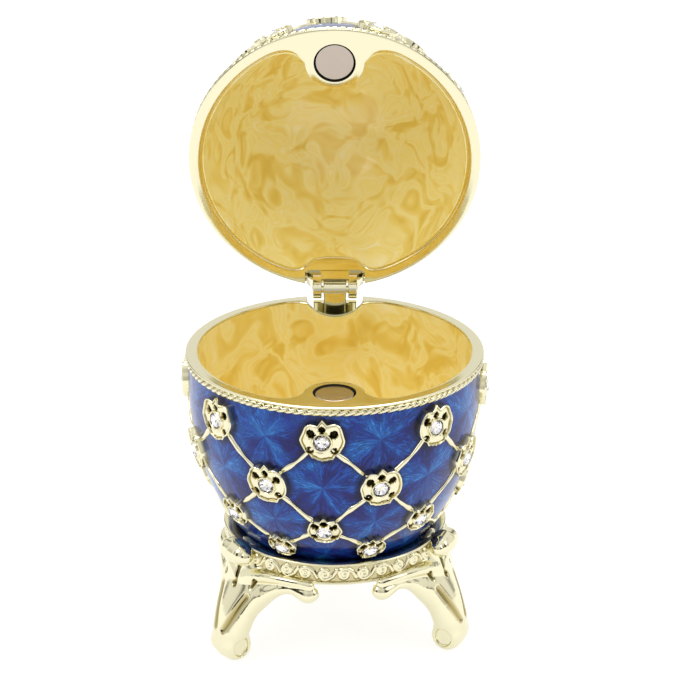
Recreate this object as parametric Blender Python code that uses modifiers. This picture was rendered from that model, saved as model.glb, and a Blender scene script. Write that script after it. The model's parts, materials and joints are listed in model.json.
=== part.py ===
"""Jewelled egg trinket box, standing open on its three scrolled feet.

The box is a small cast egg, split near its widest part into a bowl and a lid that turn on a
knuckle hinge at the back.  Both halves are hollow and carry a lozenge trellis of thin ribs
with a rosette at every crossing, and each rosette holds a clear crystal.  A ring with three
cast legs carries the bowl.  Two round magnets keep the lid shut.

Metres, +Z up.  The surface it stands on is Z = 0 and the hinge is at the back, towards +Y.
The lid is drawn shut, and the empty on its hinge turns it to the open rest position.
"""

import math
from collections import namedtuple

import bmesh
import bpy
from mathutils import Matrix, Vector

# ---------------------------------------------------------------- driving dimensions
MM = 0.001
GAP = 0.3 * MM                      # clearance between neighbouring pieces

RIM_HEIGHT = 46.0 * MM              # bowl's rim above the surface it stands on
EGG_AXIS_Y = -10.03 * MM            # the egg's axis, forward of the open box's middle
RIM_RADIUS = 22.5 * MM              # outer edge of both rims
MOUTH_RADIUS = 20.6 * MM            # inner edge of both rims
BELLY_RADIUS = 22.07 * MM           # widest radius of the wall under the rope border
BELLY_DROP = 5.0 * MM               # the widest place, below the bowl's rim
BOWL_SEMI_AXIS = 31.9 * MM          # height of the ellipse that the bowl's wall follows
LID_SEMI_AXIS = 29.0 * MM           # the same for the lid
BOWL_DEPTH = 30.6 * MM              # rim to flat underside
WALL = 1.5 * MM
ROPE_HEIGHT = 1.4 * MM              # twisted border beside each rim
STEPS = 32                          # facets around the egg

HINGE_Y = 23.1 * MM                 # hinge axis behind the egg's axis
HINGE_RISE = 0.6 * MM               # hinge axis above the bowl's rim
OPEN_ANGLE = 79.7                   # degrees from shut to open
BARREL_RADIUS = 1.45 * MM
PIN_RADIUS = 0.5 * MM
KNUCKLE_HALF = 1.8 * MM             # half the bowl's centre knuckle
HINGE_HALF = 3.5 * MM               # half the whole barrel
SLOT_HALF = 4.4 * MM                # half the gap in the rims around the hinge
SLOT_DEPTH = 4.5 * MM
SLOT_FRONT = 19.3 * MM              # inner wall of the slot, behind the egg's axis
BULGE_FRONT = 18.1 * MM             # face of the swelling around the slot
SWELLING_HALF = 6.5 * MM
SWELLING_Y = 20.2 * MM
DIP_RADIUS = 5.5 * MM               # round dip in the bowl's swelling, in front of the knuckle
DIP_DEPTH = 2.2 * MM
LID_SLOT_DEPTH = 1.3 * MM
ARM_FRONT = 20.2 * MM               # front of the lid's two hinge arms
LEAF_THICK = 1.7 * MM               # the bowl's leaf under its knuckle

MAGNET_RADIUS = 3.0 * MM
MAGNET_THICK = 1.5 * MM
MAGNET_Y = -16.8 * MM
MAGNET_SINK = 0.3 * MM              # face of a magnet, below the rim
BOSS_RADIUS = 4.8 * MM              # land around a magnet
PLUG_DEPTH = 4.8 * MM               # how far the lands run down the wall
PLUG_TAPER = 0.8
LAND_STEP = 0.05 * MM               # how little a face is set back from the one beside it

PATTERN_TURN = -4.5                 # degrees, the trellis against the hinge
AROUND = 8                          # rosettes in a row
PITCH = 360 / AROUND
HINGE_CLEAR = 15                    # degrees either side of the hinge without a rosette at the rim
FLOWER_RISE = 1.1 * MM              # rosette's face above the wall
STUD_RADIUS = 1.2 * MM
STUD_RISE = 0.7 * MM
CRYSTAL_RADIUS = 1.15 * MM
TABLE_RADIUS = 0.7 * MM
CRYSTAL_RISE = 1.45 * MM            # crystal's top above the wall
SOCKET_RADIUS = 1.6 * MM
# rows of rosettes: name, height from the rim in mm, half pitches of turn, and size or 0 for a stud
BOWL_ROWS = (("a", -5.3, 0, 1.0), ("b", -13.4, 1, 1.0), ("c", -20.9, 0, 0.8), ("d", -25.2, 1, 0.72))
LID_ROWS = (("a", 5.3, 1, 1.0), ("b", 13.0, 0, 1.0), ("c", 19.0, 1, 0.0))
# half of a rosette's outline, from its tip down to its base, in mm from the crystal
FLOWER_HALF = ((0.0, 4.0), (1.0, 3.0), (2.0, 3.3), (3.35, 1.0), (2.7, -1.5), (1.2, -2.75))

RING_RADIUS = 17.1 * MM             # stand's ring
RING_TOP = -27.65 * MM              # measured from the rim, as all heights below
RING_BOTTOM = -31.1 * MM
SEAT_RISE = 9.0 * MM                # how far above the ring the legs' tops are hollowed for the bowl
SEAT_GAP = 0.38 * MM                # clearance of the faceted seat from the faceted bowl
STAND_TURN = 5.7                    # degrees, the stand against the hinge
LEG_TURNS = tuple(STAND_TURN + 60 + 120 * k for k in range(3))
LEG_CLEAR = 19                      # degrees either side of a leg without a rosette in row d
FOOT_RADIUS = 2.15 * MM             # scroll that a foot stands on
FOOT_HALF = 3.0 * MM
FOOT_OUT = 19.1 * MM                # from the egg's axis
# a leg's middle line from the ring to the foot: outwards, height and radius, in mm
LEG_LINE = ((16.3, -28.5, 1.5), (16.5, -31.0, 1.6), (17.5, -34.6, 1.6), (18.75, -38.2, 1.55),
            (19.7, -41.4, 1.45))
LEG_WIDEN = 2.1                     # a leg's width over its thickness
# the two strands of a side wing: degrees from its leg, height and radius, in mm
WING_LINES = (((7, -37.4, 1.4), (14, -35.2, 1.3), (20, -33.4, 1.15), (26, -32.1, 1.0), (32, -31.9, 1.0),
               (38, -32.4, 1.3), (42.5, -32.5, 1.15)),
              ((5, -32.8, 1.6), (14, -31.8, 1.3), (26, -31.5, 0.9)))
WING_OUT = 16.9 * MM
# the rolled top of a leg: sideways from its middle and radius, in mm
ROLL_LINE = ((-2.5, 0.9), (-1.7, 1.5), (0.0, 1.75), (1.7, 1.5), (2.5, 0.9))
ROLL_OUT = 18.35 * MM
ROLL_HEIGHT = -28.3 * MM

collection = bpy.data.collections.new("jewelled_egg_trinket_box")
cutters = bpy.data.collections.new("cutters")
# what a piece is placed in: its parent empty, and the middle of the bowl's rim from there
Frame = namedtuple("Frame", "parent rim_centre")


# ---------------------------------------------------------------- scene and materials
def clear_scene():
    for old in list(bpy.data.objects):
        bpy.data.objects.remove(old, do_unlink=True)
    bpy.context.scene.collection.children.link(collection)
    bpy.context.scene.collection.children.link(cutters)


def material(name, colour, roughness, metallic, alpha=1.0):
    mat = bpy.data.materials.new(name)
    mat.use_nodes = True
    shader = mat.node_tree.nodes["Principled BSDF"]
    shader.inputs["Base Color"].default_value = (*colour, 1.0)
    shader.inputs["Roughness"].default_value = roughness
    shader.inputs["Metallic"].default_value = metallic
    shader.inputs["Alpha"].default_value = alpha
    return mat


def empty(name, location, parent=None):
    obj = bpy.data.objects.new(name, None)
    obj.location = location
    obj.parent = parent
    collection.objects.link(obj)
    return obj


# ---------------------------------------------------------------- mesh helpers
def place(name, mesh, frame, into, mat=None):
    """Put a mesh, drawn around the middle of the bowl's rim, in its frame and collection."""
    if mat and not mesh.materials:
        mesh.materials.append(mat)
    obj = bpy.data.objects.new(name, mesh)
    obj.parent = frame.parent
    obj.location = frame.rim_centre
    into.objects.link(obj)
    if into is not collection:
        obj.hide_render = True
        obj.display_type = "WIRE"
    return obj


def finish(name, bm):
    """A mesh from a bmesh, smooth over its round faces."""
    mesh = bpy.data.meshes.new(name)
    bm.to_mesh(mesh)
    bm.free()
    mesh.shade_smooth()
    mesh.set_sharp_from_angle(angle=math.radians(30))
    return mesh


def turned(name, profile, frame, into, mat=None, closed=False):
    """A solid of revolution, whose profile in (radius, height) runs down on the outer side."""
    bm = bmesh.new()
    points = [bm.verts.new(polar(r, 90 + 180 / STEPS, z)) for r, z in profile]
    for a, b in zip(points, points[1:]):
        bm.edges.new((a, b))
    if closed:
        bm.edges.new((points[-1], points[0]))
    obj = place(name, finish(name, bm), frame, into, mat)
    screw = obj.modifiers.new("turn", "SCREW")
    screw.steps = STEPS
    screw.render_steps = STEPS
    screw.use_merge_vertices = True
    screw.merge_threshold = 0.01 * MM
    return obj


def box(name, low, high, frame, into=cutters):
    bm = bmesh.new()
    bmesh.ops.create_cube(bm, size=1.0)
    size = Vector(high) - Vector(low)
    middle = (Vector(high) + Vector(low)) / 2
    matrix = Matrix.Translation(middle) @ Matrix.Diagonal((*size, 1.0))
    bmesh.ops.transform(bm, matrix=matrix, verts=bm.verts)
    return place(name, finish(name, bm), frame, into)


def rod(name, radius, low, high, frame, into=cutters, mat=None, sides=16):
    """A cylinder between two places, with a flat side facing down when it lies along X."""
    bm = bmesh.new()
    line = Vector(high) - Vector(low)
    bmesh.ops.create_cone(bm, cap_ends=True, segments=sides, radius1=radius, radius2=radius,
                          depth=line.length)
    turn = line.to_track_quat("Z", "Y").to_matrix().to_4x4() @ Matrix.Rotation(math.pi / sides, 4, "Z")
    middle = (Vector(high) + Vector(low)) / 2
    bmesh.ops.transform(bm, matrix=Matrix.Translation(middle) @ turn, verts=bm.verts)
    return place(name, finish(name, bm), frame, into, mat)


def prism(name, top, bottom, frame, into=cutters):
    """A closed solid between two outlines with the same number of points."""
    bm = bmesh.new()
    upper = [bm.verts.new(p) for p in top]
    lower = [bm.verts.new(p) for p in bottom]
    bm.faces.new(upper)
    bm.faces.new(reversed(lower))
    for i in range(len(top)):
        j = (i + 1) % len(top)
        bm.faces.new((upper[j], upper[i], lower[i], lower[j]))
    if bm.calc_volume(signed=True) < 0:
        bmesh.ops.reverse_faces(bm, faces=bm.faces)
    return place(name, finish(name, bm), frame, into)


def combine(obj, other, operation):
    """Join to, or cut by, one object or every object of a collection."""
    mod = obj.modifiers.new(operation.lower(), "BOOLEAN")
    mod.operation = operation
    mod.solver = "EXACT"
    if isinstance(other, bpy.types.Collection):
        mod.operand_type = "COLLECTION"
        mod.collection = other
    else:
        mod.object = other


def group(name):
    """A collection of pieces that are joined into one solid."""
    pieces = bpy.data.collections.new(name)
    cutters.children.link(pieces)
    return pieces


def smooth_points(points, per_span):
    """Points on a Catmull-Rom curve through the given ones, each a tuple of any length."""
    ends = [points[0], *points, points[-1]]
    result = []
    for p0, p1, p2, p3 in zip(ends, ends[1:], ends[2:], ends[3:]):
        for k in range(per_span):
            t = k / per_span
            result.append([0.5 * (2 * b + (c - a) * t + (2 * a - 5 * b + 4 * c - d) * t * t
                                  + (3 * b - a - 3 * c + d) * t ** 3)
                           for a, b, c, d in zip(p0, p1, p2, p3)])
    result.append(points[-1])
    return result


def curve_mesh(name, lines, closed=False, **settings):
    """A closed mesh from a curve with a spline for each line of (x, y, z, radius) points."""
    curve = bpy.data.curves.new(name, "CURVE")
    for key, value in settings.items():
        setattr(curve, key, value)
    for line in lines:
        spline = curve.splines.new("POLY")
        spline.points.add(len(line) - 1)
        spline.use_cyclic_u = closed
        for point, (x, y, z, radius) in zip(spline.points, line):
            point.co = (x, y, z, 1.0)
            point.radius = radius
    guide = bpy.data.objects.new(name + "_line", curve)
    cutters.objects.link(guide)
    depsgraph = bpy.context.evaluated_depsgraph_get()
    bm = bmesh.new()
    bm.from_mesh(bpy.data.meshes.new_from_object(guide.evaluated_get(depsgraph)))
    bpy.data.objects.remove(guide)
    bmesh.ops.remove_doubles(bm, verts=bm.verts, dist=0.01 * MM)
    bmesh.ops.recalc_face_normals(bm, faces=bm.faces)
    return bm


def add_tube(name, line, frame, into, resolution, widen=1.0, turn=0.0):
    """A tapering tube with closed ends, widened along X and turned about the egg's axis."""
    narrow = [(x / widen, y, z, radius) for x, y, z, radius in line]
    bm = curve_mesh(name, [narrow], dimensions="3D", bevel_depth=1.0, bevel_resolution=resolution,
                    use_fill_caps=True)
    matrix = Matrix.Rotation(math.radians(turn), 4, "Z") @ Matrix.Diagonal((widen, 1.0, 1.0, 1.0))
    bmesh.ops.transform(bm, matrix=matrix, verts=bm.verts)
    return place(name, finish(name, bm), frame, into)


# ---------------------------------------------------------------- the egg's outline
def polar(radius, azimuth, z):
    """A point at a distance from the egg's axis; azimuth 0 is the front, +90 the right."""
    angle = math.radians(azimuth)
    return (radius * math.sin(angle), -radius * math.cos(angle), z)


def ellipse_radius(height, belly, semi_axis):
    return belly * math.sqrt(max(1 - (height / semi_axis) ** 2, 0.0))


def bowl_wall(z, inset=0.0):
    """Radius of the bowl's wall at a height from its rim, outside or set in by a wall."""
    return ellipse_radius(min(z + BELLY_DROP, 0.0), BELLY_RADIUS - inset, BOWL_SEMI_AXIS - inset)


def lid_wall(z, inset=0.0):
    """The same for the shut lid, whose ellipse has the same widest place."""
    return ellipse_radius(z + BELLY_DROP, BELLY_RADIUS - inset, LID_SEMI_AXIS - inset)


def wall_frame(wall, z, azimuth):
    """Where a row sits on the wall: X runs around, Y up the wall and Z straight out of it."""
    angle = math.radians(azimuth)
    out = Vector((math.sin(angle), -math.cos(angle), 0.0))
    around = Vector((math.cos(angle), math.sin(angle), 0.0))
    step = 0.05 * MM
    slope = (wall(z + step) - wall(z - step)) / (2 * step)
    up = (out * slope + Vector((0.0, 0.0, 1.0))).normalized()
    matrix = Matrix((around, up, around.cross(up))).transposed().to_4x4()
    matrix.translation = out * wall(z) + Vector((0.0, 0.0, z))
    return matrix


def wall_heights(start, end, semi_axis, spans):
    """Heights that divide a stretch of the wall's ellipse by even angles."""
    first, last = (math.asin((z + BELLY_DROP) / semi_axis) for z in (start, end))
    angles = [first + (last - first) * k / spans for k in range(spans + 1)]
    return [semi_axis * math.sin(a) - BELLY_DROP for a in angles]


# ---------------------------------------------------------------- relief on the walls
def flower_mesh(name, size):
    """A rosette with a pointed tip and an open socket, standing on the wall."""
    half = [(x * MM * size, y * MM * size) for x, y in FLOWER_HALF]
    outline = half + [(-x, y) for x, y in reversed(half[1:])]
    socket = [(SOCKET_RADIUS * math.cos(a), SOCKET_RADIUS * math.sin(a))
              for a in (math.radians(60 * k) for k in range(6))]
    lines = [[(x, y, 0.0, 1.0) for x, y in points] for points in (outline, socket)]
    bm = curve_mesh(name, lines, closed=True, dimensions="2D", fill_mode="BOTH", extrude=FLOWER_RISE)
    return finish(name, bm)


def crown_frame():
    """The frame of the rosette on the lid's top, with its tip to the front."""
    return Matrix.Translation((0, 0, LID_SEMI_AXIS - BELLY_DROP)) @ Matrix.Rotation(math.pi, 4, "Z")


def near(azimuth, other, reach):
    """Whether two directions are within so many degrees of each other."""
    return abs((azimuth - other + 180) % 360 - 180) < reach


def row_frames(wall, rows):
    """Every rosette's name, size and frame on the wall, but none at the hinge or behind a leg."""
    for row, height, half_pitch, size in rows:
        for k in range(AROUND):
            azimuth = PATTERN_TURN + PITCH * (k + half_pitch / 2)
            at_hinge = row == "a" and near(azimuth, 180, HINGE_CLEAR)
            behind_leg = row == "d" and any(near(azimuth, leg, LEG_CLEAR) for leg in LEG_TURNS)
            if not at_hinge and not behind_leg:
                yield f"{row}{k + 1}", size, wall_frame(wall, height * MM, azimuth)


def stud_mesh():
    """A small plain stud for the crossings near the lid's top."""
    bm = bmesh.new()
    bmesh.ops.create_cone(bm, cap_ends=True, segments=6, radius1=STUD_RADIUS, radius2=STUD_RADIUS * 0.6,
                          depth=2 * STUD_RISE)
    return finish("stud", bm)


def flowers(name, placed, frame):
    """Rosettes, or plain studs where the size is 0, gathered from (label, size, matrix)."""
    shapes = {size: flower_mesh("flower", size) if size else stud_mesh() for _, size, _ in placed}
    bm = bmesh.new()
    for _, size, matrix in placed:
        shape = shapes[size].copy()
        shape.transform(matrix)
        bm.from_mesh(shape)
    return place(name, finish(name, bm), frame, cutters)


def add_crystals(side, places, frame, mat):
    """A faceted crystal in each rosette's socket, as a piece of its own."""
    bm = bmesh.new()
    depth = CRYSTAL_RISE - GAP
    bmesh.ops.create_cone(bm, cap_ends=True, segments=8, radius1=CRYSTAL_RADIUS,
                          radius2=TABLE_RADIUS, depth=depth)
    bmesh.ops.translate(bm, vec=(0, 0, GAP + depth / 2), verts=bm.verts)
    mesh = finish("crystal", bm)
    for label, size, matrix in places:
        if not size:
            continue
        obj = place(f"crystal_{side}_{label}", mesh, frame, collection, mat)
        obj.matrix_basis = Matrix.Translation(frame.rim_centre) @ matrix


# ---------------------------------------------------------------- what swells inward from the walls
def oval_plug(name, half_width, middle, ends, near, far, shrink_to, frame, into):
    """A tapered plug bedded in the wall, oval in plan: (inner, wall) ends either side of its middle.

    It runs from near the rim to its far height, where it shrinks towards a place across it.
    """
    inner, bedded = (end - middle for end in ends)
    top = []
    for k in range(16):
        angle = math.radians(360 / 16 * (k + 0.5))
        reach = inner if math.sin(angle) > 0 else bedded
        top.append((half_width * math.cos(angle), middle + reach * abs(math.sin(angle)), near))
    bottom = [(x * PLUG_TAPER, shrink_to + (y - shrink_to) * PLUG_TAPER, far) for x, y, _ in top]
    return prism(name, top, bottom, frame, into)


# ---------------------------------------------------------------- the pieces
def make_bowl(frame, relief, enamel):
    """The egg's lower half: wall, rope border, magnet land, hinge slot and centre knuckle."""
    floor = WALL - BOWL_DEPTH
    inner_axis = BOWL_SEMI_AXIS - WALL
    inner = [(bowl_wall(z, WALL), z) for z in wall_heights(floor, -BELLY_DROP, inner_axis, 5)]
    outer = [(bowl_wall(z), z) for z in wall_heights(-BELLY_DROP, -BOWL_DEPTH, BOWL_SEMI_AXIS, 7)]
    rope = [(RIM_RADIUS - 0.2 * MM, 0), (RIM_RADIUS, -0.3 * MM), (RIM_RADIUS, 0.2 * MM - ROPE_HEIGHT),
            (bowl_wall(-ROPE_HEIGHT) - 0.1 * MM, -ROPE_HEIGHT)]
    profile = [(0, floor), *inner, (MOUTH_RADIUS, 0), *rope, *outer, (0, -BOWL_DEPTH)]
    bowl = turned("bowl", profile, frame, collection, enamel)

    swellings = group("bowl_swellings")
    oval_plug("bowl_magnet_land", BOSS_RADIUS, MAGNET_Y, (MAGNET_Y + BOSS_RADIUS, -21.0 * MM),
              -LAND_STEP, -PLUG_DEPTH, -19.5 * MM, frame, swellings)
    oval_plug("bowl_slot_swelling", SWELLING_HALF, SWELLING_Y, (BULGE_FRONT, 21.2 * MM),
              -LAND_STEP, -PLUG_DEPTH - 2 * MM, 20.8 * MM, frame, swellings)
    combine(bowl, swellings, "UNION")

    cuts = group("bowl_cuts")
    rod("bowl_magnet_recess", MAGNET_RADIUS + GAP, (0, MAGNET_Y, -MAGNET_SINK - MAGNET_THICK - GAP),
        (0, MAGNET_Y, MM), frame, cuts, sides=20)
    box("bowl_slot", (-SLOT_HALF, SLOT_FRONT, -SLOT_DEPTH), (SLOT_HALF, RIM_RADIUS + MM, MM), frame, cuts)
    rod("bowl_slot_dip", DIP_RADIUS, (0, BULGE_FRONT - MM, DIP_RADIUS - DIP_DEPTH),
        (0, SLOT_FRONT + MM, DIP_RADIUS - DIP_DEPTH), frame, cuts, sides=24)
    combine(bowl, cuts, "DIFFERENCE")

    knuckle = group("bowl_knuckle")
    leaf_back = HINGE_Y - 0.1 * MM
    rod("bowl_barrel", BARREL_RADIUS, (-KNUCKLE_HALF, HINGE_Y, HINGE_RISE),
        (KNUCKLE_HALF, HINGE_Y, HINGE_RISE), frame, knuckle)
    leaf_half = KNUCKLE_HALF - LAND_STEP
    box("bowl_leaf", (-leaf_half, leaf_back - LEAF_THICK, -SLOT_DEPTH - MM),
        (leaf_half, leaf_back, HINGE_RISE), frame, knuckle)
    combine(bowl, knuckle, "UNION")
    combine(bowl, pin_bore("bowl_bore", frame), "DIFFERENCE")
    combine(bowl, relief, "UNION")


def make_lid(frame, relief, enamel):
    """The egg's upper half, drawn shut: a gap above the bowl's rim, with two knuckles."""
    face = GAP
    inner_axis = LID_SEMI_AXIS - WALL
    inner_heights = wall_heights(2 * MM, inner_axis - BELLY_DROP, inner_axis, 6)
    outer_heights = wall_heights(face + ROPE_HEIGHT, LID_SEMI_AXIS - BELLY_DROP, LID_SEMI_AXIS, 8)
    inner = [(lid_wall(z, WALL), z) for z in inner_heights]
    outer = [(lid_wall(z), z) for z in outer_heights]
    rope = [(RIM_RADIUS - 0.2 * MM, face), (RIM_RADIUS, face + 0.3 * MM),
            (RIM_RADIUS, face + ROPE_HEIGHT - 0.2 * MM)]
    profile = [*reversed(outer), *reversed(rope), (MOUTH_RADIUS, face), *inner]
    lid = turned("lid", profile, frame, collection, enamel)

    swellings = group("lid_swellings")
    land = face + LAND_STEP
    oval_plug("lid_magnet_land", BOSS_RADIUS, MAGNET_Y, (MAGNET_Y + BOSS_RADIUS, -20.9 * MM),
              land, PLUG_DEPTH, -18.0 * MM, frame, swellings)
    oval_plug("lid_slot_swelling", SWELLING_HALF, SWELLING_Y, (BULGE_FRONT, 20.9 * MM),
              land, PLUG_DEPTH, 19.0 * MM, frame, swellings)
    combine(lid, swellings, "UNION")

    cuts = group("lid_cuts")
    rod("lid_magnet_recess", MAGNET_RADIUS + GAP, (0, MAGNET_Y, -MM),
        (0, MAGNET_Y, face + MAGNET_SINK + MAGNET_THICK + GAP), frame, cuts, sides=20)
    box("lid_slot", (-SLOT_HALF, SLOT_FRONT, -MM),
        (SLOT_HALF, RIM_RADIUS + MM, face + LID_SLOT_DEPTH), frame, cuts)
    combine(lid, cuts, "DIFFERENCE")

    knuckles = group("lid_knuckles")
    for side, sense in (("left", -1), ("right", 1)):
        low, high = sorted((sense * (KNUCKLE_HALF + GAP), sense * HINGE_HALF))
        rod(f"lid_barrel_{side}", BARREL_RADIUS, (low, HINGE_Y, HINGE_RISE),
            (high, HINGE_Y, HINGE_RISE), frame, knuckles)
        box(f"lid_arm_{side}", (low + LAND_STEP, ARM_FRONT, HINGE_RISE - 0.5 * MM),
            (high - LAND_STEP, HINGE_Y - 0.2 * MM, face + LID_SLOT_DEPTH + MM), frame, knuckles)
    combine(lid, knuckles, "UNION")
    reach = BARREL_RADIUS + GAP
    clearance = box("lid_knuckle_clearance", (-KNUCKLE_HALF - GAP, HINGE_Y - reach, -MM),
                    (KNUCKLE_HALF + GAP, HINGE_Y + reach, HINGE_RISE + reach), frame)
    combine(lid, clearance, "DIFFERENCE")
    combine(lid, pin_bore("lid_bore", frame), "DIFFERENCE")
    combine(lid, relief, "UNION")


def pin_bore(name, frame):
    end = HINGE_HALF + MM
    return rod(name, PIN_RADIUS + GAP, (-end, HINGE_Y, HINGE_RISE), (end, HINGE_Y, HINGE_RISE),
               frame, sides=12)


def make_magnets(bowl_frame, lid_frame, nickel):
    low = -MAGNET_SINK - MAGNET_THICK
    rod("magnet_bowl", MAGNET_RADIUS, (0, MAGNET_Y, low), (0, MAGNET_Y, -MAGNET_SINK), bowl_frame,
        collection, nickel, sides=20)
    low = GAP + MAGNET_SINK
    rod("magnet_lid", MAGNET_RADIUS, (0, MAGNET_Y, low), (0, MAGNET_Y, low + MAGNET_THICK), lid_frame,
        collection, nickel, sides=20)


def make_stand(frame, gold):
    """A ring that the bowl sits in, cast in one with three scrolled legs and their wings."""
    fillet = 0.5 * MM
    frieze = RING_RADIUS - 0.3 * MM
    profile = [(RING_RADIUS - 1.1 * MM, RING_TOP), (RING_RADIUS, RING_TOP), (RING_RADIUS, RING_TOP - fillet),
               (frieze, RING_TOP - 1.4 * fillet), (frieze, RING_BOTTOM + 1.4 * fillet),
               (RING_RADIUS, RING_BOTTOM + fillet), (RING_RADIUS, RING_BOTTOM),
               (RING_RADIUS - 3.4 * MM, RING_BOTTOM), (RING_RADIUS - 3.0 * MM, RING_BOTTOM + MM)]
    stand = turned("stand", profile, frame, collection, gold, closed=True)
    legs = group("stand_legs")
    for k, turn in enumerate(LEG_TURNS):
        add_leg(k + 1, turn, frame, legs)
    combine(stand, legs, "UNION")
    top, underside = RING_TOP + SEAT_RISE, -BOWL_DEPTH - GAP
    wall = [(bowl_wall(z) + SEAT_GAP, z) for z in wall_heights(top, -BOWL_DEPTH, BOWL_SEMI_AXIS, 5)]
    seat = [(0, top), *wall, (wall[-1][0], underside), (0, underside)]
    combine(stand, turned("stand_seat", seat, frame, cutters), "DIFFERENCE")


def add_leg(number, turn, frame, legs):
    """One leg: its S-shaped body, the roll above it, the foot scroll and two side wings."""
    body = [(0, -y * MM, z * MM, radius * MM) for y, z, radius in smooth_points(LEG_LINE, 2)]
    add_tube(f"leg_{number}_body", body, frame, legs, 2, LEG_WIDEN, turn)
    roll = [(x * MM, -ROLL_OUT, ROLL_HEIGHT, radius * MM) for x, radius in ROLL_LINE]
    add_tube(f"leg_{number}_roll", roll, frame, legs, 2, turn=turn)
    for sense in (-1, 1):
        for line in WING_LINES:
            wing = [(*polar(WING_OUT, sense * angle, z * MM), radius * MM) for angle, z, radius in line]
            add_tube(f"leg_{number}_wing", wing, frame, legs, 1, turn=turn)
    sides = 12
    foot_height = FOOT_RADIUS - RIM_HEIGHT
    foot = rod(f"leg_{number}_foot", FOOT_RADIUS / math.cos(math.pi / sides),
               (-FOOT_HALF, -FOOT_OUT, foot_height), (FOOT_HALF, -FOOT_OUT, foot_height),
               frame, legs, sides=sides)
    foot.data.transform(Matrix.Rotation(math.radians(turn), 4, "Z"))


def make_hinge_pin(frame, gold):
    rod("hinge_pin", PIN_RADIUS, (-HINGE_HALF, HINGE_Y, HINGE_RISE), (HINGE_HALF, HINGE_Y, HINGE_RISE),
        frame, collection, gold, sides=12)


def main():
    clear_scene()
    enamel = material("blue_enamelled_metal", (0.03, 0.09, 0.42), 0.15, 0.3)
    gold = material("pale_gold_plate", (0.86, 0.76, 0.47), 0.16, 1.0)
    nickel = material("satin_nickel", (0.72, 0.66, 0.62), 0.3, 1.0)
    crystal = material("clear_crystal", (0.98, 0.98, 1.0), 0.03, 0.0, 0.4)

    box_frame = empty("box_frame", (0, EGG_AXIS_Y, 0))
    bowl_frame = Frame(box_frame, Vector((0, 0, RIM_HEIGHT)))
    lid_hinge = empty("lid_hinge", (0, HINGE_Y, RIM_HEIGHT + HINGE_RISE), box_frame)
    lid_hinge.rotation_euler.x = math.radians(-OPEN_ANGLE)
    lid_frame = Frame(lid_hinge, Vector((0, -HINGE_Y, -HINGE_RISE)))

    bowl_places = list(row_frames(bowl_wall, BOWL_ROWS))
    lid_places = [*row_frames(lid_wall, LID_ROWS), ("crown", 1.0, crown_frame())]
    bowl_relief = flowers("bowl_flowers", bowl_places, bowl_frame)
    lid_relief = flowers("lid_flowers", lid_places, lid_frame)
    make_stand(bowl_frame, gold)
    make_bowl(bowl_frame, bowl_relief, enamel)
    make_lid(lid_frame, lid_relief, enamel)
    make_hinge_pin(bowl_frame, gold)
    make_magnets(bowl_frame, lid_frame, nickel)
    add_crystals("bowl", bowl_places, bowl_frame, crystal)
    add_crystals("lid", lid_places, lid_frame, crystal)


main()
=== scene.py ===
# %% [markdown]
# # A jewelled egg trinket box
# A small cast egg stands open on three scrolled feet.  Both halves are plated in pale gold.
# Outside they carry blue translucent enamel between the ribs of a trellis, with a rosette and
# a clear stone at every crossing, and inside they are lined with cream pearl enamel.
# The measured solids come in first and stay fixed: every piece below is drawn around them.

# %% Load the measured frame
import json
import math
from collections import namedtuple

import bmesh
import bpy
import numpy as np
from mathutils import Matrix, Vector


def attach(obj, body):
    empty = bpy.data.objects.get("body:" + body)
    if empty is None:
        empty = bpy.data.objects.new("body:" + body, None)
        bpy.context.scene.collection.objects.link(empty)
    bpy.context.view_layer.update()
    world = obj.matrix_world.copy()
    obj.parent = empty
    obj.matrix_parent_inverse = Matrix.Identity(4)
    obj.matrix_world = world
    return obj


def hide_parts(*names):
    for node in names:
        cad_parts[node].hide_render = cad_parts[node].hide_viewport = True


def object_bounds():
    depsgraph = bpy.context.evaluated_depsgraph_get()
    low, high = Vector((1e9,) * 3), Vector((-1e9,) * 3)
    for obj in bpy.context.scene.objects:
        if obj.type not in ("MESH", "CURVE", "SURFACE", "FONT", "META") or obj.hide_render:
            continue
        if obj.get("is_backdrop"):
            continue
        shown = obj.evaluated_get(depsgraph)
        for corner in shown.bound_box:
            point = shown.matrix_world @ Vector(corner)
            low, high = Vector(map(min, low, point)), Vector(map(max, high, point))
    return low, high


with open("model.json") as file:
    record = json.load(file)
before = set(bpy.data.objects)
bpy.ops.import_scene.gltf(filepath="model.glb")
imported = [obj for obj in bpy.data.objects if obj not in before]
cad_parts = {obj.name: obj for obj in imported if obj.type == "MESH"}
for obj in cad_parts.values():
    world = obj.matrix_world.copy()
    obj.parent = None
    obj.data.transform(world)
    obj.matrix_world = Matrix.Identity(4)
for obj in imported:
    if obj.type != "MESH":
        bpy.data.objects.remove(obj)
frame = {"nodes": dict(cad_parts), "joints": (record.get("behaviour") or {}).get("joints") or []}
cad_box = [[float(value) for value in corner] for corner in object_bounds()]
nodes = frame["nodes"]
print(f"{len(nodes)} solids, box {cad_box}")

# %% [markdown]
# ## Working in millimetres around the rim
# A jeweller measures an egg from its rim, so every piece is first drawn in millimetres around
# the middle of the bowl's rim, with the lid shut on it.  Two functions then put it in the
# frame.  The lid's also turns it open about the hinge.

# %% From the rim to the frame
MM = 0.001
HINGE_BACK = 23.1
HINGE_RISE = 0.6
hinge = frame["joints"][0]
open_angle = math.radians(hinge["range_deg"][1])
hinge_at = np.array(hinge["pos_m"]) / MM
rim_centre = hinge_at - (0.0, HINGE_BACK, HINGE_RISE)


def place_bowl(points):
    """Millimetres from the middle of the bowl's rim, as metres in the frame."""
    return (points + rim_centre) * MM


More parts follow.
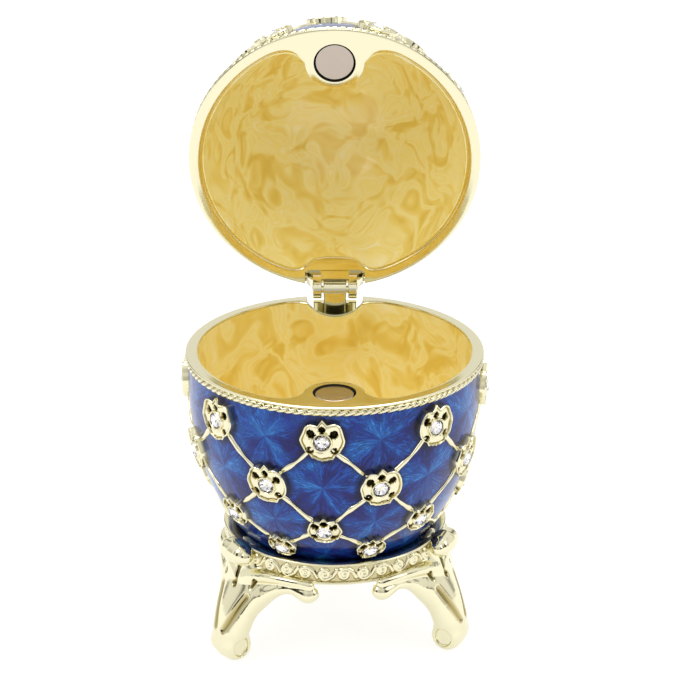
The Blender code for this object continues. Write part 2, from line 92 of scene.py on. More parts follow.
def place_lid(points):
    """The same for the shut lid, turned about the hinge line by minus the opening angle."""
    local = points - (0.0, HINGE_BACK, HINGE_RISE)
    cosine, sine = math.cos(open_angle), math.sin(open_angle)
    y = local[..., 1] * cosine + local[..., 2] * sine
    z = local[..., 2] * cosine - local[..., 1] * sine
    return (np.stack([local[..., 0], y, z], -1) + hinge_at) * MM


# how each half is put in the frame, and the body that it rides on
HALVES = {"bowl": (place_bowl, "base"), "lid": (place_lid, "lid")}
print("rim centre", rim_centre.round(2), "opens", hinge["range_deg"][1])

# %% [markdown]
# ## Surfaces as arrays of points
# A cast, turned or twisted surface is a grid: rows one way, columns the other.  numpy works the
# whole grid out at once, and neighbouring points become four-sided faces.  Collapsed rows, such
# as the pole of a bowl, are welded to one point, so that every piece is closed.

# %% Grids, outlines and meshes
Shape = namedtuple("Shape", "points faces")


def grid(points, wrap_rows=False, wrap_columns=False):
    """Quads between the neighbours of a (rows, columns, 3) array, joined end to end if asked."""
    rows, columns = points.shape[:2]
    index = np.arange(rows * columns).reshape(rows, columns)
    if wrap_rows:
        index = np.vstack([index, index[:1]])
    if wrap_columns:
        index = np.hstack([index, index[:, :1]])
    quads = np.stack([index[:-1, :-1], index[:-1, 1:], index[1:, 1:], index[1:, :-1]], -1)
    return Shape(points.reshape(-1, 3), quads.reshape(-1, 4))


def together(shapes):
    """Several shapes as one."""
    starts = np.cumsum([0] + [len(shape.points) for shape in shapes])
    faces = [shape.faces + start for shape, start in zip(shapes, starts)]
    return Shape(np.concatenate([shape.points for shape in shapes]), np.concatenate(faces))


def full_turn(count):
    """So many angles once round, as one row."""
    return np.linspace(0, 2 * math.pi, count, endpoint=False)[None, :]


def capped(points):
    """Rows of points around a bar, its two ends closed by collapsed rows."""
    first, last = (np.repeat(row.mean(0)[None], len(row), 0) for row in (points[0], points[-1]))
    return grid(np.stack([first, *points, last]), wrap_columns=True)


def signed_volume(points, quads):
    """A closed surface's volume: a sixth of the triple products of its triangles."""
    a, b, c, d = (points[quads[:, k]] for k in range(4))
    return (np.cross(a, b) * c).sum() / 6 + (np.cross(a, c) * d).sum() / 6


def outward(shape):
    """The shape with its faces turned outwards."""
    if signed_volume(*shape) < 0:
        return Shape(shape.points, shape.faces[:, ::-1])
    return shape


def make_mesh(name, shape, fields=None):
    """A Blender mesh, with a number for every point under each field's name."""
    mesh = bpy.data.meshes.new(name)
    mesh.vertices.add(len(shape.points))
    mesh.vertices.foreach_set("co", shape.points.astype(np.float32).ravel())
    mesh.loops.add(shape.faces.size)
    mesh.loops.foreach_set("vertex_index", shape.faces.astype(np.int32).ravel())
    mesh.polygons.add(len(shape.faces))
    mesh.polygons.foreach_set("loop_start", np.arange(0, shape.faces.size, 4, dtype=np.int32))
    mesh.update(calc_edges=True)
    for field, values in (fields or {}).items():
        attribute = mesh.attributes.new(field, "FLOAT", "POINT")
        attribute.data.foreach_set("value", values.astype(np.float32).ravel())
    return mesh


def weld(mesh):
    """Merge the points that fall together, within a micrometre."""
    bm = bmesh.new()
    bm.from_mesh(mesh)
    bmesh.ops.remove_doubles(bm, verts=bm.verts, dist=0.001 * MM)
    bm.to_mesh(mesh)
    bm.free()


def soften(mesh, degrees=35.0):
    """Smooth shading, but for edges sharper than so many degrees."""
    mesh.shade_smooth()
    mesh.set_sharp_from_angle(angle=math.radians(degrees))


def new_object(name, data):
    """An object with its data, in the scene."""
    obj = bpy.data.objects.new(name, data)
    bpy.context.scene.collection.objects.link(obj)
    return obj


made = []


def piece(name, shape, half, finish, fields=None, sharp=35.0):
    """A named object from a shape, placed with one half and riding with it, in its finish."""
    place, body = HALVES[half]
    placed = outward(Shape(place(shape.points), shape.faces))
    mesh = make_mesh(name, placed, fields)
    weld(mesh)
    soften(mesh, sharp)
    obj = new_object(name, mesh)
    obj.data.materials.append(finish)
    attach(obj, body)
    made.append(name)
    return obj


# %% [markdown]
# ## Finishes
# Each finish starts from what it really is.  Colours are given as sRGB hex values, as a maker
# would read them off a chart, and one function turns them to the linear values that the
# shader wants.

# %% Colours and nodes
def linear(code):
    """An sRGB hex colour as linear red, green, blue and full alpha."""
    values = np.array([int(code[k:k + 2], 16) for k in (1, 3, 5)]) / 255
    low, high = values / 12.92, ((values + 0.055) / 1.055) ** 2.4
    return (*np.where(values <= 0.04045, low, high).tolist(), 1.0)


def wire(tree, target, **links):
    """Link or set a node's sockets, named as in Base_Color or numbered as in _6."""
    for socket, value in links.items():
        name = int(socket[1:]) if socket[0] == "_" else socket.replace("_", " ")
        if isinstance(value, bpy.types.NodeSocket):
            tree.links.new(value, target.inputs[name])
        else:
            target.inputs[name].default_value = value


def node(tree, kind, settings=None, **links):
    """Add a node, with its settings by attribute and its sockets wired."""
    added = tree.nodes.new("ShaderNode" + kind)
    for key, value in (settings or {}).items():
        setattr(added, key, value)
    wire(tree, added, **links)
    return added


def ramp(tree, factor, stops):
    """A colour ramp from (place, colour) stops."""
    added = node(tree, "ValToRGB", _0=factor)
    elements = added.color_ramp.elements
    while len(elements) < len(stops):
        elements.new(0.5)
    for element, (place, colour) in zip(elements, stops):
        element.position = place
        element.color = linear(colour)
    return added.outputs["Color"]


def new_finish(name):
    """A material with its tree and its Principled shader."""
    finish = bpy.data.materials.new(name)
    finish.use_nodes = True
    return finish, finish.node_tree, finish.node_tree.nodes["Principled BSDF"]


SMOOTH = {"interpolation_type": "SMOOTHSTEP"}
MULTIPLIED = {"data_type": "RGBA", "blend_type": "MULTIPLY"}
IN_4D = {"noise_dimensions": "4D"}


# %% [markdown]
# ### Pale gold plate
# A thin gold alloy plated on polished zinc.  It mirrors the room, so most of its look is what
# it reflects.  A cast surface is never quite flat: a slow ripple a few millimetres long bends
# the reflections.  Where a piece marks its hollows, grooves and channels, the colour is darkened
# to olive and near black as painted shade.

# %% Gold plate
def gold_plate():
    finish, tree, shader = new_finish("pale_gold_plate_on_cast_zinc")
    where = node(tree, "TexCoord").outputs["Object"]
    ripple = node(tree, "TexNoise", Vector=where, Scale=1 / (3.0 * MM), Detail=1.0)
    grain = node(tree, "TexNoise", Vector=where, Scale=1 / (0.5 * MM), Detail=2.0)
    bump = node(tree, "Bump", Height=ripple.outputs["Fac"], Strength=0.12, Distance=0.15 * MM)
    # painted shade: olive to near black where a piece marks its hollows, grooves and channels
    pit = node(tree, "Attribute", {"attribute_name": "pit"})
    colour = ramp(tree, pit.outputs["Fac"], ((0.0, "#E7E1C0"), (0.35, "#A09054"), (0.75, "#1C180C")))
    rough = node(tree, "MapRange", Value=grain.outputs["Fac"], To_Min=0.07, To_Max=0.17)
    wire(tree, shader, Base_Color=colour, Roughness=rough.outputs["Result"], Metallic=1.0,
         Normal=bump.outputs["Normal"])
    return finish


gold = gold_plate()


# %% [markdown]
# ### Blue translucent enamel
# The metal under the enamel is engraved with rays from the middle of each lozenge, and the
# blue glass over it shows them.  The rays are streaks of noise read by direction alone, so they
# run straight out, and broad lighter fans among them are a painted sheen of the engraved metal.
# The glass pools dark against the ribs, and painted shade of the raised gold darkens the same
# places.  A clear coat gives its gloss.

# %% Blue enamel
def blue_enamel():
    finish, tree, shader = new_finish("translucent_cobalt_enamel")
    local = node(tree, "UVMap", {"uv_map": "sunburst"}).outputs["UV"]
    direction = node(tree, "VectorMath", {"operation": "NORMALIZE"}, _0=local).outputs["Vector"]
    reach = node(tree, "VectorMath", {"operation": "LENGTH"}, _0=local).outputs["Value"]
    cell = node(tree, "Attribute", {"attribute_name": "cell"}).outputs["Fac"]
    pool_and_shade = node(tree, "Attribute", {"attribute_name": "rib_gap"}).outputs["Fac"]
    wander = node(tree, "TexNoise", IN_4D, Vector=local, W=cell, Scale=4.0, Detail=1.0)
    slow = node(tree, "VectorMath", {"operation": "MULTIPLY_ADD"}, _0=wander.outputs["Color"],
                _1=(0.3, 0.3, 0.0), _2=local).outputs["Vector"]
    ray_at = node(tree, "VectorMath", {"operation": "ADD"}, _0=direction, _1=slow).outputs["Vector"]
    broad = node(tree, "TexNoise", IN_4D, Vector=ray_at, W=cell, Scale=1.3, Detail=0.0)
    fine = node(tree, "TexNoise", IN_4D, Vector=ray_at, W=cell, Scale=6.5, Detail=3.0, Roughness=0.65)
    cloud = node(tree, "TexNoise", IN_4D, Vector=local, W=cell, Scale=3.2, Detail=1.0)
    spread = node(tree, "MapRange", SMOOTH, Value=reach, From_Min=0.0, From_Max=0.16).outputs["Result"]
    grooves = node(tree, "Math", {"operation": "SUBTRACT"}, _0=fine.outputs["Fac"], _1=0.5).outputs["Value"]
    faded = node(tree, "Math", {"operation": "MULTIPLY"}, _0=grooves, _1=spread).outputs["Value"]
    # painted sheen: broad fans of the rays lighter, where the engraved metal would catch the light, mixed
    # with slow changes of tone
    sheen_sectors = node(tree, "Math", {"operation": "MULTIPLY_ADD"}, _0=broad.outputs["Fac"], _1=2.0,
                   _2=cloud.outputs["Fac"]).outputs["Value"]
    mild = node(tree, "MapRange", Value=sheen_sectors, From_Min=1.05, From_Max=1.95, To_Min=0.34,
                To_Max=0.67).outputs["Result"]
    streaks = node(tree, "Math", {"operation": "MULTIPLY_ADD"}, _0=faded, _1=0.7, _2=mild).outputs["Value"]
    fade = node(tree, "MapRange", Value=reach, From_Min=0.05, From_Max=0.6, To_Min=0.02, To_Max=-0.1)
    light = node(tree, "Math", {"operation": "ADD"}, _0=streaks, _1=fade.outputs["Result"]).outputs["Value"]
    rays = ramp(tree, light, ((0.22, "#120E5A"), (0.38, "#132A80"), (0.5, "#15459A"), (0.62, "#1E5EB0"),
                              (0.8, "#368AD4")))
    hair = node(tree, "Math", {"operation": "ABSOLUTE"}, _0=grooves).outputs["Value"]
    thin = node(tree, "MapRange", SMOOTH, Value=hair, From_Min=0.0, From_Max=0.05, To_Min=0.3, To_Max=1.0)
    # darker against the ribs, rosettes and rim: pooled glass, and painted shade of the raised gold
    edge = node(tree, "MapRange", SMOOTH, Value=pool_and_shade, From_Min=0.0, From_Max=1.1)
    dark = ramp(tree, edge.outputs["Result"], ((0.0, "#2A2468"), (1.0, "#FFFFFF")))
    scored = node(tree, "Mix", MULTIPLIED, _0=1.0, _6=rays, _7=thin.outputs["Result"])
    colour = node(tree, "Mix", MULTIPLIED, _0=0.85, _6=scored.outputs[2], _7=dark)
    bump = node(tree, "Bump", Height=fine.outputs["Fac"], Strength=0.25, Distance=0.1 * MM)
    wire(tree, shader, Base_Color=colour.outputs[2], Metallic=0.35, Roughness=0.42,
         Specular_IOR_Level=0.1, Normal=bump.outputs["Normal"], Coat_Weight=0.8, Coat_Roughness=0.03,
         Coat_IOR=1.38)
    return finish


blue = blue_enamel()


# %% [markdown]
# ### Cream pearl enamel
# The lining is an opaque enamel stirred with pearl before it sets, so lighter and darker bands
# curl around each other.  Noise that is itself pushed aside by slower noise gives such curls.

# %% Cream enamel
def pearl_enamel():
    finish, tree, shader = new_finish("cream_pearl_enamel")
    where = node(tree, "TexCoord").outputs["Object"]
    push = node(tree, "TexNoise", Vector=where, Scale=1 / (11.0 * MM), Detail=1.0)
    shift = node(tree, "VectorMath", {"operation": "MULTIPLY_ADD"}, _0=push.outputs["Color"],
                 _1=(0.03, 0.03, 0.03), _2=where).outputs["Vector"]
    curls = node(tree, "TexNoise", Vector=shift, Scale=1 / (5.5 * MM), Detail=1.5, Roughness=0.45,
                 Distortion=0.9)
    colour = ramp(tree, curls.outputs["Fac"], (
        (0.3, "#E8C95C"), (0.45, "#F3DC7E"), (0.55, "#F9EBA6"), (0.62, "#F6E38C"), (0.75, "#FBF0BE")))
    wire(tree, shader, Base_Color=colour, Roughness=0.35, Coat_Weight=0.7, Coat_Roughness=0.08)
    return finish


pearl = pearl_enamel()


# %% [markdown]
# ### Nickel and stone
# The magnets are nickel plated and ground flat, and sit in recesses whose walls are painted
# almost black, with a rough mottle, as painted shade.  The stones are clear glass with a silvered
# back: light goes in through the crown and the back throws it out again.

# %% Nickel, glass, foil and recess shade
def nickel_plate():
    finish, tree, shader = new_finish("satin_nickel_plate")
    where = node(tree, "TexCoord").outputs["Object"]
    grain = node(tree, "TexNoise", Vector=where, Scale=1 / (0.4 * MM), Detail=3.0)
    rough = node(tree, "MapRange", Value=grain.outputs["Fac"], To_Min=0.18, To_Max=0.3)
    wire(tree, shader, Base_Color=linear("#B9ADA2"), Roughness=rough.outputs["Result"], Metallic=1.0)
    return finish


def clear_glass():
    finish, tree, shader = new_finish("clear_lead_glass")
    wire(tree, shader, Base_Color=linear("#FFFFFF"), Roughness=0.0, Transmission_Weight=1.0, IOR=1.56)
    return finish


def silver_foil():
    finish, tree, shader = new_finish("silver_foil_back")
    wire(tree, shader, Base_Color=linear("#F4F2F6"), Roughness=0.05, Metallic=1.0)
    return finish


def recess_shade_finish():
    finish, tree, shader = new_finish("painted_recess_shade")
    where = node(tree, "TexCoord").outputs["Object"]
    shade_mottle = node(tree, "TexNoise", Vector=where, Scale=1 / (0.7 * MM), Detail=3.0)
    # painted shade: the recess walls almost black, mottled
    colour = ramp(tree, shade_mottle.outputs["Fac"], ((0.3, "#14100A"), (0.7, "#2E2617")))
    wire(tree, shader, Base_Color=colour, Roughness=0.7)
    return finish


nickel = nickel_plate()
recess_shade = recess_shade_finish()
glass = clear_glass()
foil = silver_foil()
print(len(bpy.data.materials), "finishes")

# %% [markdown]
# ## The egg's outline
# Each half follows half an ellipse.  The two share their widest place, a little below the rim,
# and above it the bowl's wall goes straight up.  A table of points along the wall gives its
# length, so that the trellis can be laid out on it as on unrolled paper: so far around, so far
# up, so far out.

# %% Walls of the bowl and the lid
BELLY_RADIUS = 22.07
BELLY_DROP = 5.0
BOWL_AXIS, LID_AXIS = 30.9, 29.0
BOWL_HOLLOW = 30.4
BOWL_DEPTH = 30.6
WALL = 1.5
LID_FACE = 0.3
MOUTH_RADIUS = 20.6
RIM_RADIUS = 22.4
Wall = namedtuple("Wall", "up radius height out_radius out_height")


def wall_table(angles, axis):
    """A wall's points at ellipse angles: radius = belly cos, height = axis sin less the drop."""
    return BELLY_RADIUS * np.cos(angles), axis * np.sin(angles) - BELLY_DROP


def measured(radius, height):
    """The wall with its length from the rim and its outward direction at each point."""
    steps = np.hypot(np.diff(radius), np.diff(height)) * np.sign(np.diff(height))
    up = np.concatenate([[0.0], np.cumsum(steps)])
    along_r, along_z = np.gradient(radius, up), np.gradient(height, up)
    length = np.hypot(along_r, along_z)
    return Wall(up, radius, height, along_z / length, -along_r / length)


bowl_end = math.asin((BOWL_DEPTH - BELLY_DROP) / BOWL_AXIS)
lid_start = math.asin((LID_FACE + BELLY_DROP) / LID_AXIS)
below_radius, below_height = wall_table(np.linspace(0.0, -bowl_end, 400), BOWL_AXIS)
straight = np.linspace(0.0, -BELLY_DROP, 60)[:-1]
bowl_wall = measured(np.concatenate([0 * straight + BELLY_RADIUS, below_radius]),
                     np.concatenate([straight, below_height]))
lid_wall = measured(*wall_table(np.linspace(lid_start, math.pi / 2 - 0.001, 500), LID_AXIS))


def polar(radius, turn, height):
    """Places at a radius, an angle around from the front in radians, and a height."""
    return np.stack([radius * np.sin(turn), -radius * np.cos(turn), height + 0 * turn], -1)


def on_wall(wall, azimuth, up, out):
    """A place on the wall: degrees around from the front, length up it, and height out of it."""
    order = np.argsort(wall.up)
    at = [np.interp(up, wall.up[order], column[order]) for column in wall[1:]]
    return polar(at[0] + out * at[2], np.radians(azimuth), at[1] + out * at[3])


def up_at(wall, height):
    """Length up the wall at a height."""
    order = np.argsort(wall.height)
    return float(np.interp(height, wall.height[order], wall.up[order]))


def radius_at(wall, up):
    """Radius of the wall at a length up it."""
    order = np.argsort(wall.up)
    return np.interp(up, wall.up[order], wall.radius[order])


# each half's wall, the way from its rim's face to its pole, and the height of the face
SIDES = {"bowl": (bowl_wall, -1, 0.0), "lid": (lid_wall, 1, LID_FACE)}
print(f"wall lengths: bowl {-bowl_wall.up[-1]:.1f} mm, lid {lid_wall.up[-1]:.1f} mm")

# %% [markdown]
# ## The castings
# A casting is one closed surface: up the outside, over the flat rim and down the inside.  Its
# inner side swells twice: into a bell-shaped land around the magnet at the front, and into a
# pad in front of the hinge at the back.  In plan both are simple shapes melted into the round
# wall, and the melting is a smooth minimum of two distances.

# %% The inner wall with its swellings
MAGNET_AT = 16.8
LAND_HALF, LAND_REACH, LAND_DEPTH = 4.5, 4.2, 7.0
LAND_FLARE = 0.6
PAD_HALF, PAD_DEPTH = 4.5, 8.0
PAD_FACE = {"bowl": 18.1, "lid": 17.0}
LAND_BLEND, PAD_BLEND = 4.0, 2.4
LINING = 0.15
# inside each half: the ellipse's axis and the depth of its pole
HOLLOWS = {"bowl": (BOWL_HOLLOW, BOWL_DEPTH - WALL),
           "lid": (LID_AXIS - WALL, LID_AXIS - WALL - BELLY_DROP - LID_FACE)}
# depths of the inner rows as far as the land and the pad reach, and where the even rows begin
DEPTHS = (0.3, 0.55, 0.9, 1.5, 2.4, 3.4, 4.4, 5.2, 5.8, 6.3, 6.7, 7.1, 7.7)
TAIL_DEPTH = 8.5


def smooth_min(a, b, blend):
    """The smaller of two distances, rounded where they are within a blend of each other."""
    share = np.clip(0.5 + 0.5 * (b - a) / blend, 0.0, 1.0)
    return b + (a - b) * share - blend * share * (1.0 - share)


def metal_distance(x, y, depth, mouth, pad_face):
    """Distance from the metal at one depth: round wall, land and pad melted together.

    The land is an ellipsoid around the magnet that widens towards the wall like a bell, and the
    pad a squarish one before the hinge.
    """
    half = LAND_HALF + LAND_FLARE * np.clip(-y - MAGNET_AT, 0.0, 4.0)
    land = np.sqrt((x / half) ** 2 + ((y + MAGNET_AT + 0.25 * depth) / LAND_REACH) ** 2
                   + (depth / LAND_DEPTH) ** 2) - 1
    wide = np.abs(x) / PAD_HALF
    deep = np.maximum(20.0 - y, 0.0) / (20.0 - pad_face)
    pad = np.sqrt((wide ** 3 + deep ** 3) ** (2 / 3) + (depth / PAD_DEPTH) ** 2) - 1
    metal = smooth_min(mouth - np.hypot(x, y), land * LAND_REACH, LAND_BLEND)
    return smooth_min(metal, pad * 2.8, PAD_BLEND)


def first_guess(azimuth):
    """Places near the mouth's outline: its circle cut off before the hinge, and round the magnet."""
    turn = np.radians(azimuth)
    wall = MOUTH_RADIUS * np.column_stack([np.sin(turn), np.minimum(-np.cos(turn), 0.8)])
    nose = np.radians(np.clip(azimuth / 12, -1, 1) * 90)
    magnet = np.column_stack([LAND_HALF * np.sin(nose), LAND_REACH * np.cos(nose) - MAGNET_AT])
    share = np.clip((np.abs(azimuth) - 12) / 6, 0, 1)[:, None]
    return magnet * (1 - share) + wall * share


def settle(points, depth, mouth, pad_face, level):
    """Move points along the slope of the distance until they are a level away from the metal."""
    step = 0.01
    for _ in range(24):
        x, y = points.T
        here = metal_distance(x, y, depth, mouth, pad_face) - level
        slope = np.column_stack([metal_distance(x + step, y, depth, mouth, pad_face) - level - here,
                                 metal_distance(x, y + step, depth, mouth, pad_face) - level - here]) / step
        steep = np.maximum((slope ** 2).sum(1), 0.2)
        points = points - np.clip(here / steep, -0.7, 0.7)[:, None] * slope
    return points


def around():
    """Azimuths all the way round, closer together at the magnet and at the hinge."""
    return np.unique(np.concatenate([
        np.arange(-180.0, 180.0, 1.5), np.arange(-24.0, 24.0, 0.25),
        np.arange(150.0, 180.0, 0.75), np.arange(-180.0, -150.0, 0.75)]).round(3))


def inner_rows(azimuth, half, level):
    """Rows of the inner side from the rim's face to the pole, set into the metal by a level."""
    _, sign, face = SIDES[half]
    axis_in, end = HOLLOWS[half]
    tail = np.sin(np.linspace(math.asin(TAIL_DEPTH / end), math.pi / 2, 22)) * end
    rows = []
    flat = first_guess(azimuth)
    for depth in (*DEPTHS, *tail):
        z = face + sign * depth
        over = max(sign * (z + BELLY_DROP), 0.0)
        mouth = min((BELLY_RADIUS - WALL) * math.sqrt(max(1 - (over / axis_in) ** 2, 0.0)), MOUTH_RADIUS)
        if depth > end - 0.01:
            rows.append(polar(0.0, np.radians(azimuth), z - sign * level))
        else:
            flat = settle(flat, depth, mouth, PAD_FACE[half], level)
            rows.append(np.column_stack([flat, np.full(len(flat), z)]))
    return rows


EDGE = 0.16
ENAMEL = 0.12
# the rim's outer edge as (radius, mm from its face): over the bead and in under the enamel
RIM_EDGE = ((21.95, 0.0), (22.25, 0.03), (22.38, 0.12), (RIM_RADIUS, 0.22), (22.3, 0.36), (21.85, 0.45),
            (21.85, 1.35))


def casting(half):
    """The closed casting of one half: the inner side, the rim's face, and the wall under the enamel."""
    azimuth = around()
    wall, sign, face = SIDES[half]
    rows = inner_rows(azimuth, half, -LINING)[::-1]
    lip = settle(first_guess(azimuth), 0.0, MOUTH_RADIUS, PAD_FACE[half], 0.0)
    behind = settle(lip, 0.0, MOUTH_RADIUS, PAD_FACE[half], -EDGE)
    for share, drop in ((0.1, 0.26), (0.03, EDGE), (0.3, 0.3 * EDGE), (1.0, 0.0)):
        flat = lip + (behind - lip) * share
        rows.append(np.column_stack([flat, np.full(len(flat), face + sign * drop)]))
    edge = [polar(radius, np.radians(azimuth), face + sign * drop) for radius, drop in RIM_EDGE]
    rows += [rows[-1] * (1 - share) + edge[0] * share for share in (0.25, 0.5, 0.75)] + edge
    ups = np.linspace(up_at(wall, face + sign * 1.6), wall.up[-1], 12)
    rows += [on_wall(wall, azimuth, up, -ENAMEL) for up in ups]
    pole = rows[-1] * (0.0, 0.0, 1.0)
    return grid(np.stack([*rows, pole]), wrap_columns=True)


# %% [markdown]
# ### Cutting the hinge's slot and the magnet's recess
# Crisp edges come from cutting.  Each cutter is a closed prism in the same millimetres, and the
# Boolean modifier takes it out of the casting.

# %% Prisms and cuts
def prism(outline, low, high, edge=0.0):
    """A closed bar between two heights from an outline in X and Y, its ends chamfered by an edge."""
    outline = np.asarray(outline, float)
    middle = outline.mean(0)
    inner = middle + (outline - middle) * (1 - edge / np.abs(outline - middle).max())
    levels = [(middle + 0 * outline, low), (inner, low), (outline, low + edge), (outline, high - edge),
              (inner, high), (middle + 0 * outline, high)]
    rows = [np.column_stack([line, np.full(len(line), z)]) for line, z in levels]
    return grid(np.stack(rows), wrap_columns=True)


def circle(radius, x, y, sides=64):
    """A round outline."""
    turn = full_turn(sides)[0]
    return np.column_stack([x + radius * np.cos(turn), y + radius * np.sin(turn)])


def rounded(x0, x1, y0, y1, corner):
    """A rectangle's outline with round corners."""
    turn = np.linspace(0, math.pi / 2, 6)
    arcs = []
    for k, (x, y) in enumerate(((x1 - corner, y1 - corner), (x0 + corner, y1 - corner),
                                (x0 + corner, y0 + corner), (x1 - corner, y0 + corner))):
        arcs.append(np.column_stack([x + corner * np.cos(turn + k * math.pi / 2),
                                     y + corner * np.sin(turn + k * math.pi / 2)]))
    return np.concatenate(arcs)


def swap(shape, order):
    """The shape with its axes in another order."""
    return Shape(shape.points[:, order], shape.faces)


def cut(obj, shape, half, finish):
    """Take a closed shape out of a piece, and give the new faces a finish."""
    place, _ = HALVES[half]
    mesh = make_mesh("cutter", outward(Shape(place(shape.points), shape.faces)))
    weld(mesh)
    mesh.materials.append(finish)
    cutter = new_object("cutter", mesh)
    modifier = obj.modifiers.new("cut", "BOOLEAN")
    modifier.operation = "DIFFERENCE"
    modifier.solver = "EXACT"
    modifier.material_mode = "TRANSFER"
    modifier.object = cutter
    depsgraph = bpy.context.evaluated_depsgraph_get()
    result = bpy.data.meshes.new_from_object(obj.evaluated_get(depsgraph))
    obj.modifiers.clear()
    obj.data = result
    soften(result)
    bpy.data.objects.remove(cutter)


SLOT_HALF, SLOT_FRONT, SLOT_BACK, SLOT_DEPTH = 4.4, 19.3, 25.0, 4.5
LID_SLOT_HALF, LID_SLOT_DEPTH = 4.7, 1.3
RECESS_RADIUS, RECESS_DEPTH = 3.17, 2.1
CORNER = 0.5
bowl_slot = prism(rounded(-SLOT_HALF, SLOT_HALF, SLOT_FRONT, SLOT_BACK, CORNER), -SLOT_DEPTH, 2.0)
bowl_dip = swap(prism(circle(5.5, 0.0, 3.3), 16.5, 20.5), [0, 2, 1])
bowl_recess = prism(circle(RECESS_RADIUS, 0.0, -MAGNET_AT), -RECESS_DEPTH, 1.0)
lid_slot = prism(rounded(-LID_SLOT_HALF, LID_SLOT_HALF, SLOT_FRONT, SLOT_BACK, CORNER), -1.0,
                 LID_FACE + LID_SLOT_DEPTH)
lid_recess = prism(circle(RECESS_RADIUS, 0.0, -MAGNET_AT), -1.0, LID_FACE + RECESS_DEPTH)
knuckle_room = swap(prism(circle(1.58, HINGE_BACK, HINGE_RISE, 40), -2.1, 2.1), [2, 0, 1])

# %% The two castings
CUTS = {"bowl": ((bowl_slot, gold), (bowl_dip, gold), (bowl_recess, recess_shade)),
        "lid": ((lid_slot, gold), (lid_recess, recess_shade), (knuckle_room, gold))}
for half, cuts in CUTS.items():
    obj = piece(half + "_casting", casting(half), half, gold)
    for shape, finish in cuts:
        cut(obj, shape, half, finish)
    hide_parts(half)
    print(obj.name, len(obj.data.polygons), "faces")


# %% [markdown]
# ### Linings
# The cream enamel is a thin skin on the inner side.  It is drawn as a closed skin with its own
# thickness, and starts a little below the rim, where the gold shows as a fine bright line.

# %% Linings
def lining(half):
    """A closed skin: the inner rows, and back along the same rows set into the casting."""
    azimuth = around()
    front = inner_rows(azimuth, half, 0.0)
    behind = inner_rows(azimuth, half, -LINING - 0.05)
    return grid(np.stack([*front[::-1], *behind]), wrap_columns=True)


bowl_lining = piece("bowl_lining", lining("bowl"), "bowl", pearl)
cut(bowl_lining, bowl_dip, "bowl", pearl)
lid_lining = piece("lid_lining", lining("lid"), "lid", pearl)
print("linings", len(bowl_lining.data.polygons), "and", len(lid_lining.data.polygons), "faces")

# %% [markdown]
# ## The trellis laid out
# Rosettes stand in rows of eight around each half, every second row turned by half a pitch, and
# plain studs take their place in the lid's top row.  Ribs join each one to the two nearest in
# the next row, so the wall is divided into lozenges.

# %% Rows, lozenges and their centres
PATTERN_TURN = -4.5
AROUND = 8
PITCH = 360 / AROUND
# a row's size is that of its rosettes, and nought for studs
Row = namedtuple("Row", "name height half_pitches size")
BOWL_ROWS = (Row("a", -5.3, 0, 1.0), Row("b", -13.4, 1, 1.0), Row("c", -20.9, 0, 0.8),
             Row("d", -25.2, 1, 0.72))
LID_ROWS = (Row("a", 5.3, 1, 1.0), Row("b", 13.0, 0, 1.0), Row("c", 19.0, 1, 0.0))
# heights of the lozenges' middles, from the rim on
BOWL_CENTRES = (-5.6, -13.2, -19.9, -26.6)
LID_CENTRES = (5.6, 12.8, 19.6)
STAND_TURN = 5.7
LEG_TURNS = [STAND_TURN + 60 + 120 * k for k in range(3)]
# more than any distance that is looked for, and how far a rosette covers the enamel
FAR = 9.0
ROSETTE_REACH = 3.2


def crossing_azimuth(row, k):
    """The azimuth of one of a row's crossings."""
    return PATTERN_TURN + PITCH * (k + row.half_pitches / 2)


def near(azimuth, other, reach):
    """Whether two directions are within so many degrees of each other."""
    return abs((azimuth - other + 180) % 360 - 180) < reach


def hidden(row, azimuth):
    """Whether a crossing is at the hinge or behind a leg, where there is no rosette."""
    at_hinge = row.name == "a" and near(azimuth, 180, 15)
    behind_leg = row.name == "d" and any(near(azimuth, leg, 19) for leg in LEG_TURNS)
    return at_hinge or behind_leg


def zigzag(wall, low, high, azimuth):
    """How far up the wall the ribs between two rows run: a triangle wave of the azimuth."""
    phase = (azimuth - PATTERN_TURN) / PITCH - low.half_pitches / 2
    share = np.abs(((phase + 0.5) % 1.0) - 0.5) * 2
    start, end = up_at(wall, low.height), up_at(wall, high.height)
    return start + (end - start) * share


def lozenges(wall, rows, centres, azimuth, up):
    """For places on the wall: the lozenge's number, and the place from its middle in mm."""
    beyond = [np.abs(up) > np.abs(zigzag(wall, a, b, azimuth)) for a, b in zip(rows, rows[1:])]
    tier = np.sum(beyond, 0)
    phases = np.array([rows[(k + 1) % 2].half_pitches / 2 for k in range(len(centres))])[tier]
    count = np.round((azimuth - PATTERN_TURN) / PITCH - phases)
    middle = PATTERN_TURN + PITCH * (count + phases)
    middle_up = np.array([up_at(wall, z) for z in centres])[tier]
    x = np.radians(azimuth - middle) * radius_at(wall, middle_up)
    return tier * 10 + count, x, up - middle_up


def rib_distance(wall, rows, azimuth, up):
    """Distance in mm from the nearest rib or rosette, along the wall."""
    nearest = np.full(np.shape(up), FAR)
    for low, high in zip(rows, rows[1:]):
        start, end = up_at(wall, low.height), up_at(wall, high.height)
        run = math.radians(PITCH / 2) * radius_at(wall, (start + end) / 2)
        above = np.abs(up - zigzag(wall, low, high, azimuth))
        nearest = np.minimum(nearest, above * run / math.hypot(run, end - start))
    for row in rows:
        phase = (azimuth - PATTERN_TURN) / PITCH - row.half_pitches / 2
        x = np.radians((phase - np.round(phase)) * PITCH) * radius_at(wall, up)
        away = np.hypot(x, up - up_at(wall, row.height))
        nearest = np.minimum(nearest, away - ROSETTE_REACH * row.size)
    return np.maximum(nearest, 0.0)


# %% [markdown]
# ### Enamel skins
# The enamel is a smooth closed skin on the wall.  Each face carries its place from the middle
# of its own lozenge in the UV map, which jumps only under the ribs, and each point carries its
# distance from the gold, where the glass pools and painted shade of the raised gold falls.

# %% Enamel skins
BACK_STEP = 12
# how far apart in the noise two lozenges read, so that their rays differ
CELL_APART = 7.3


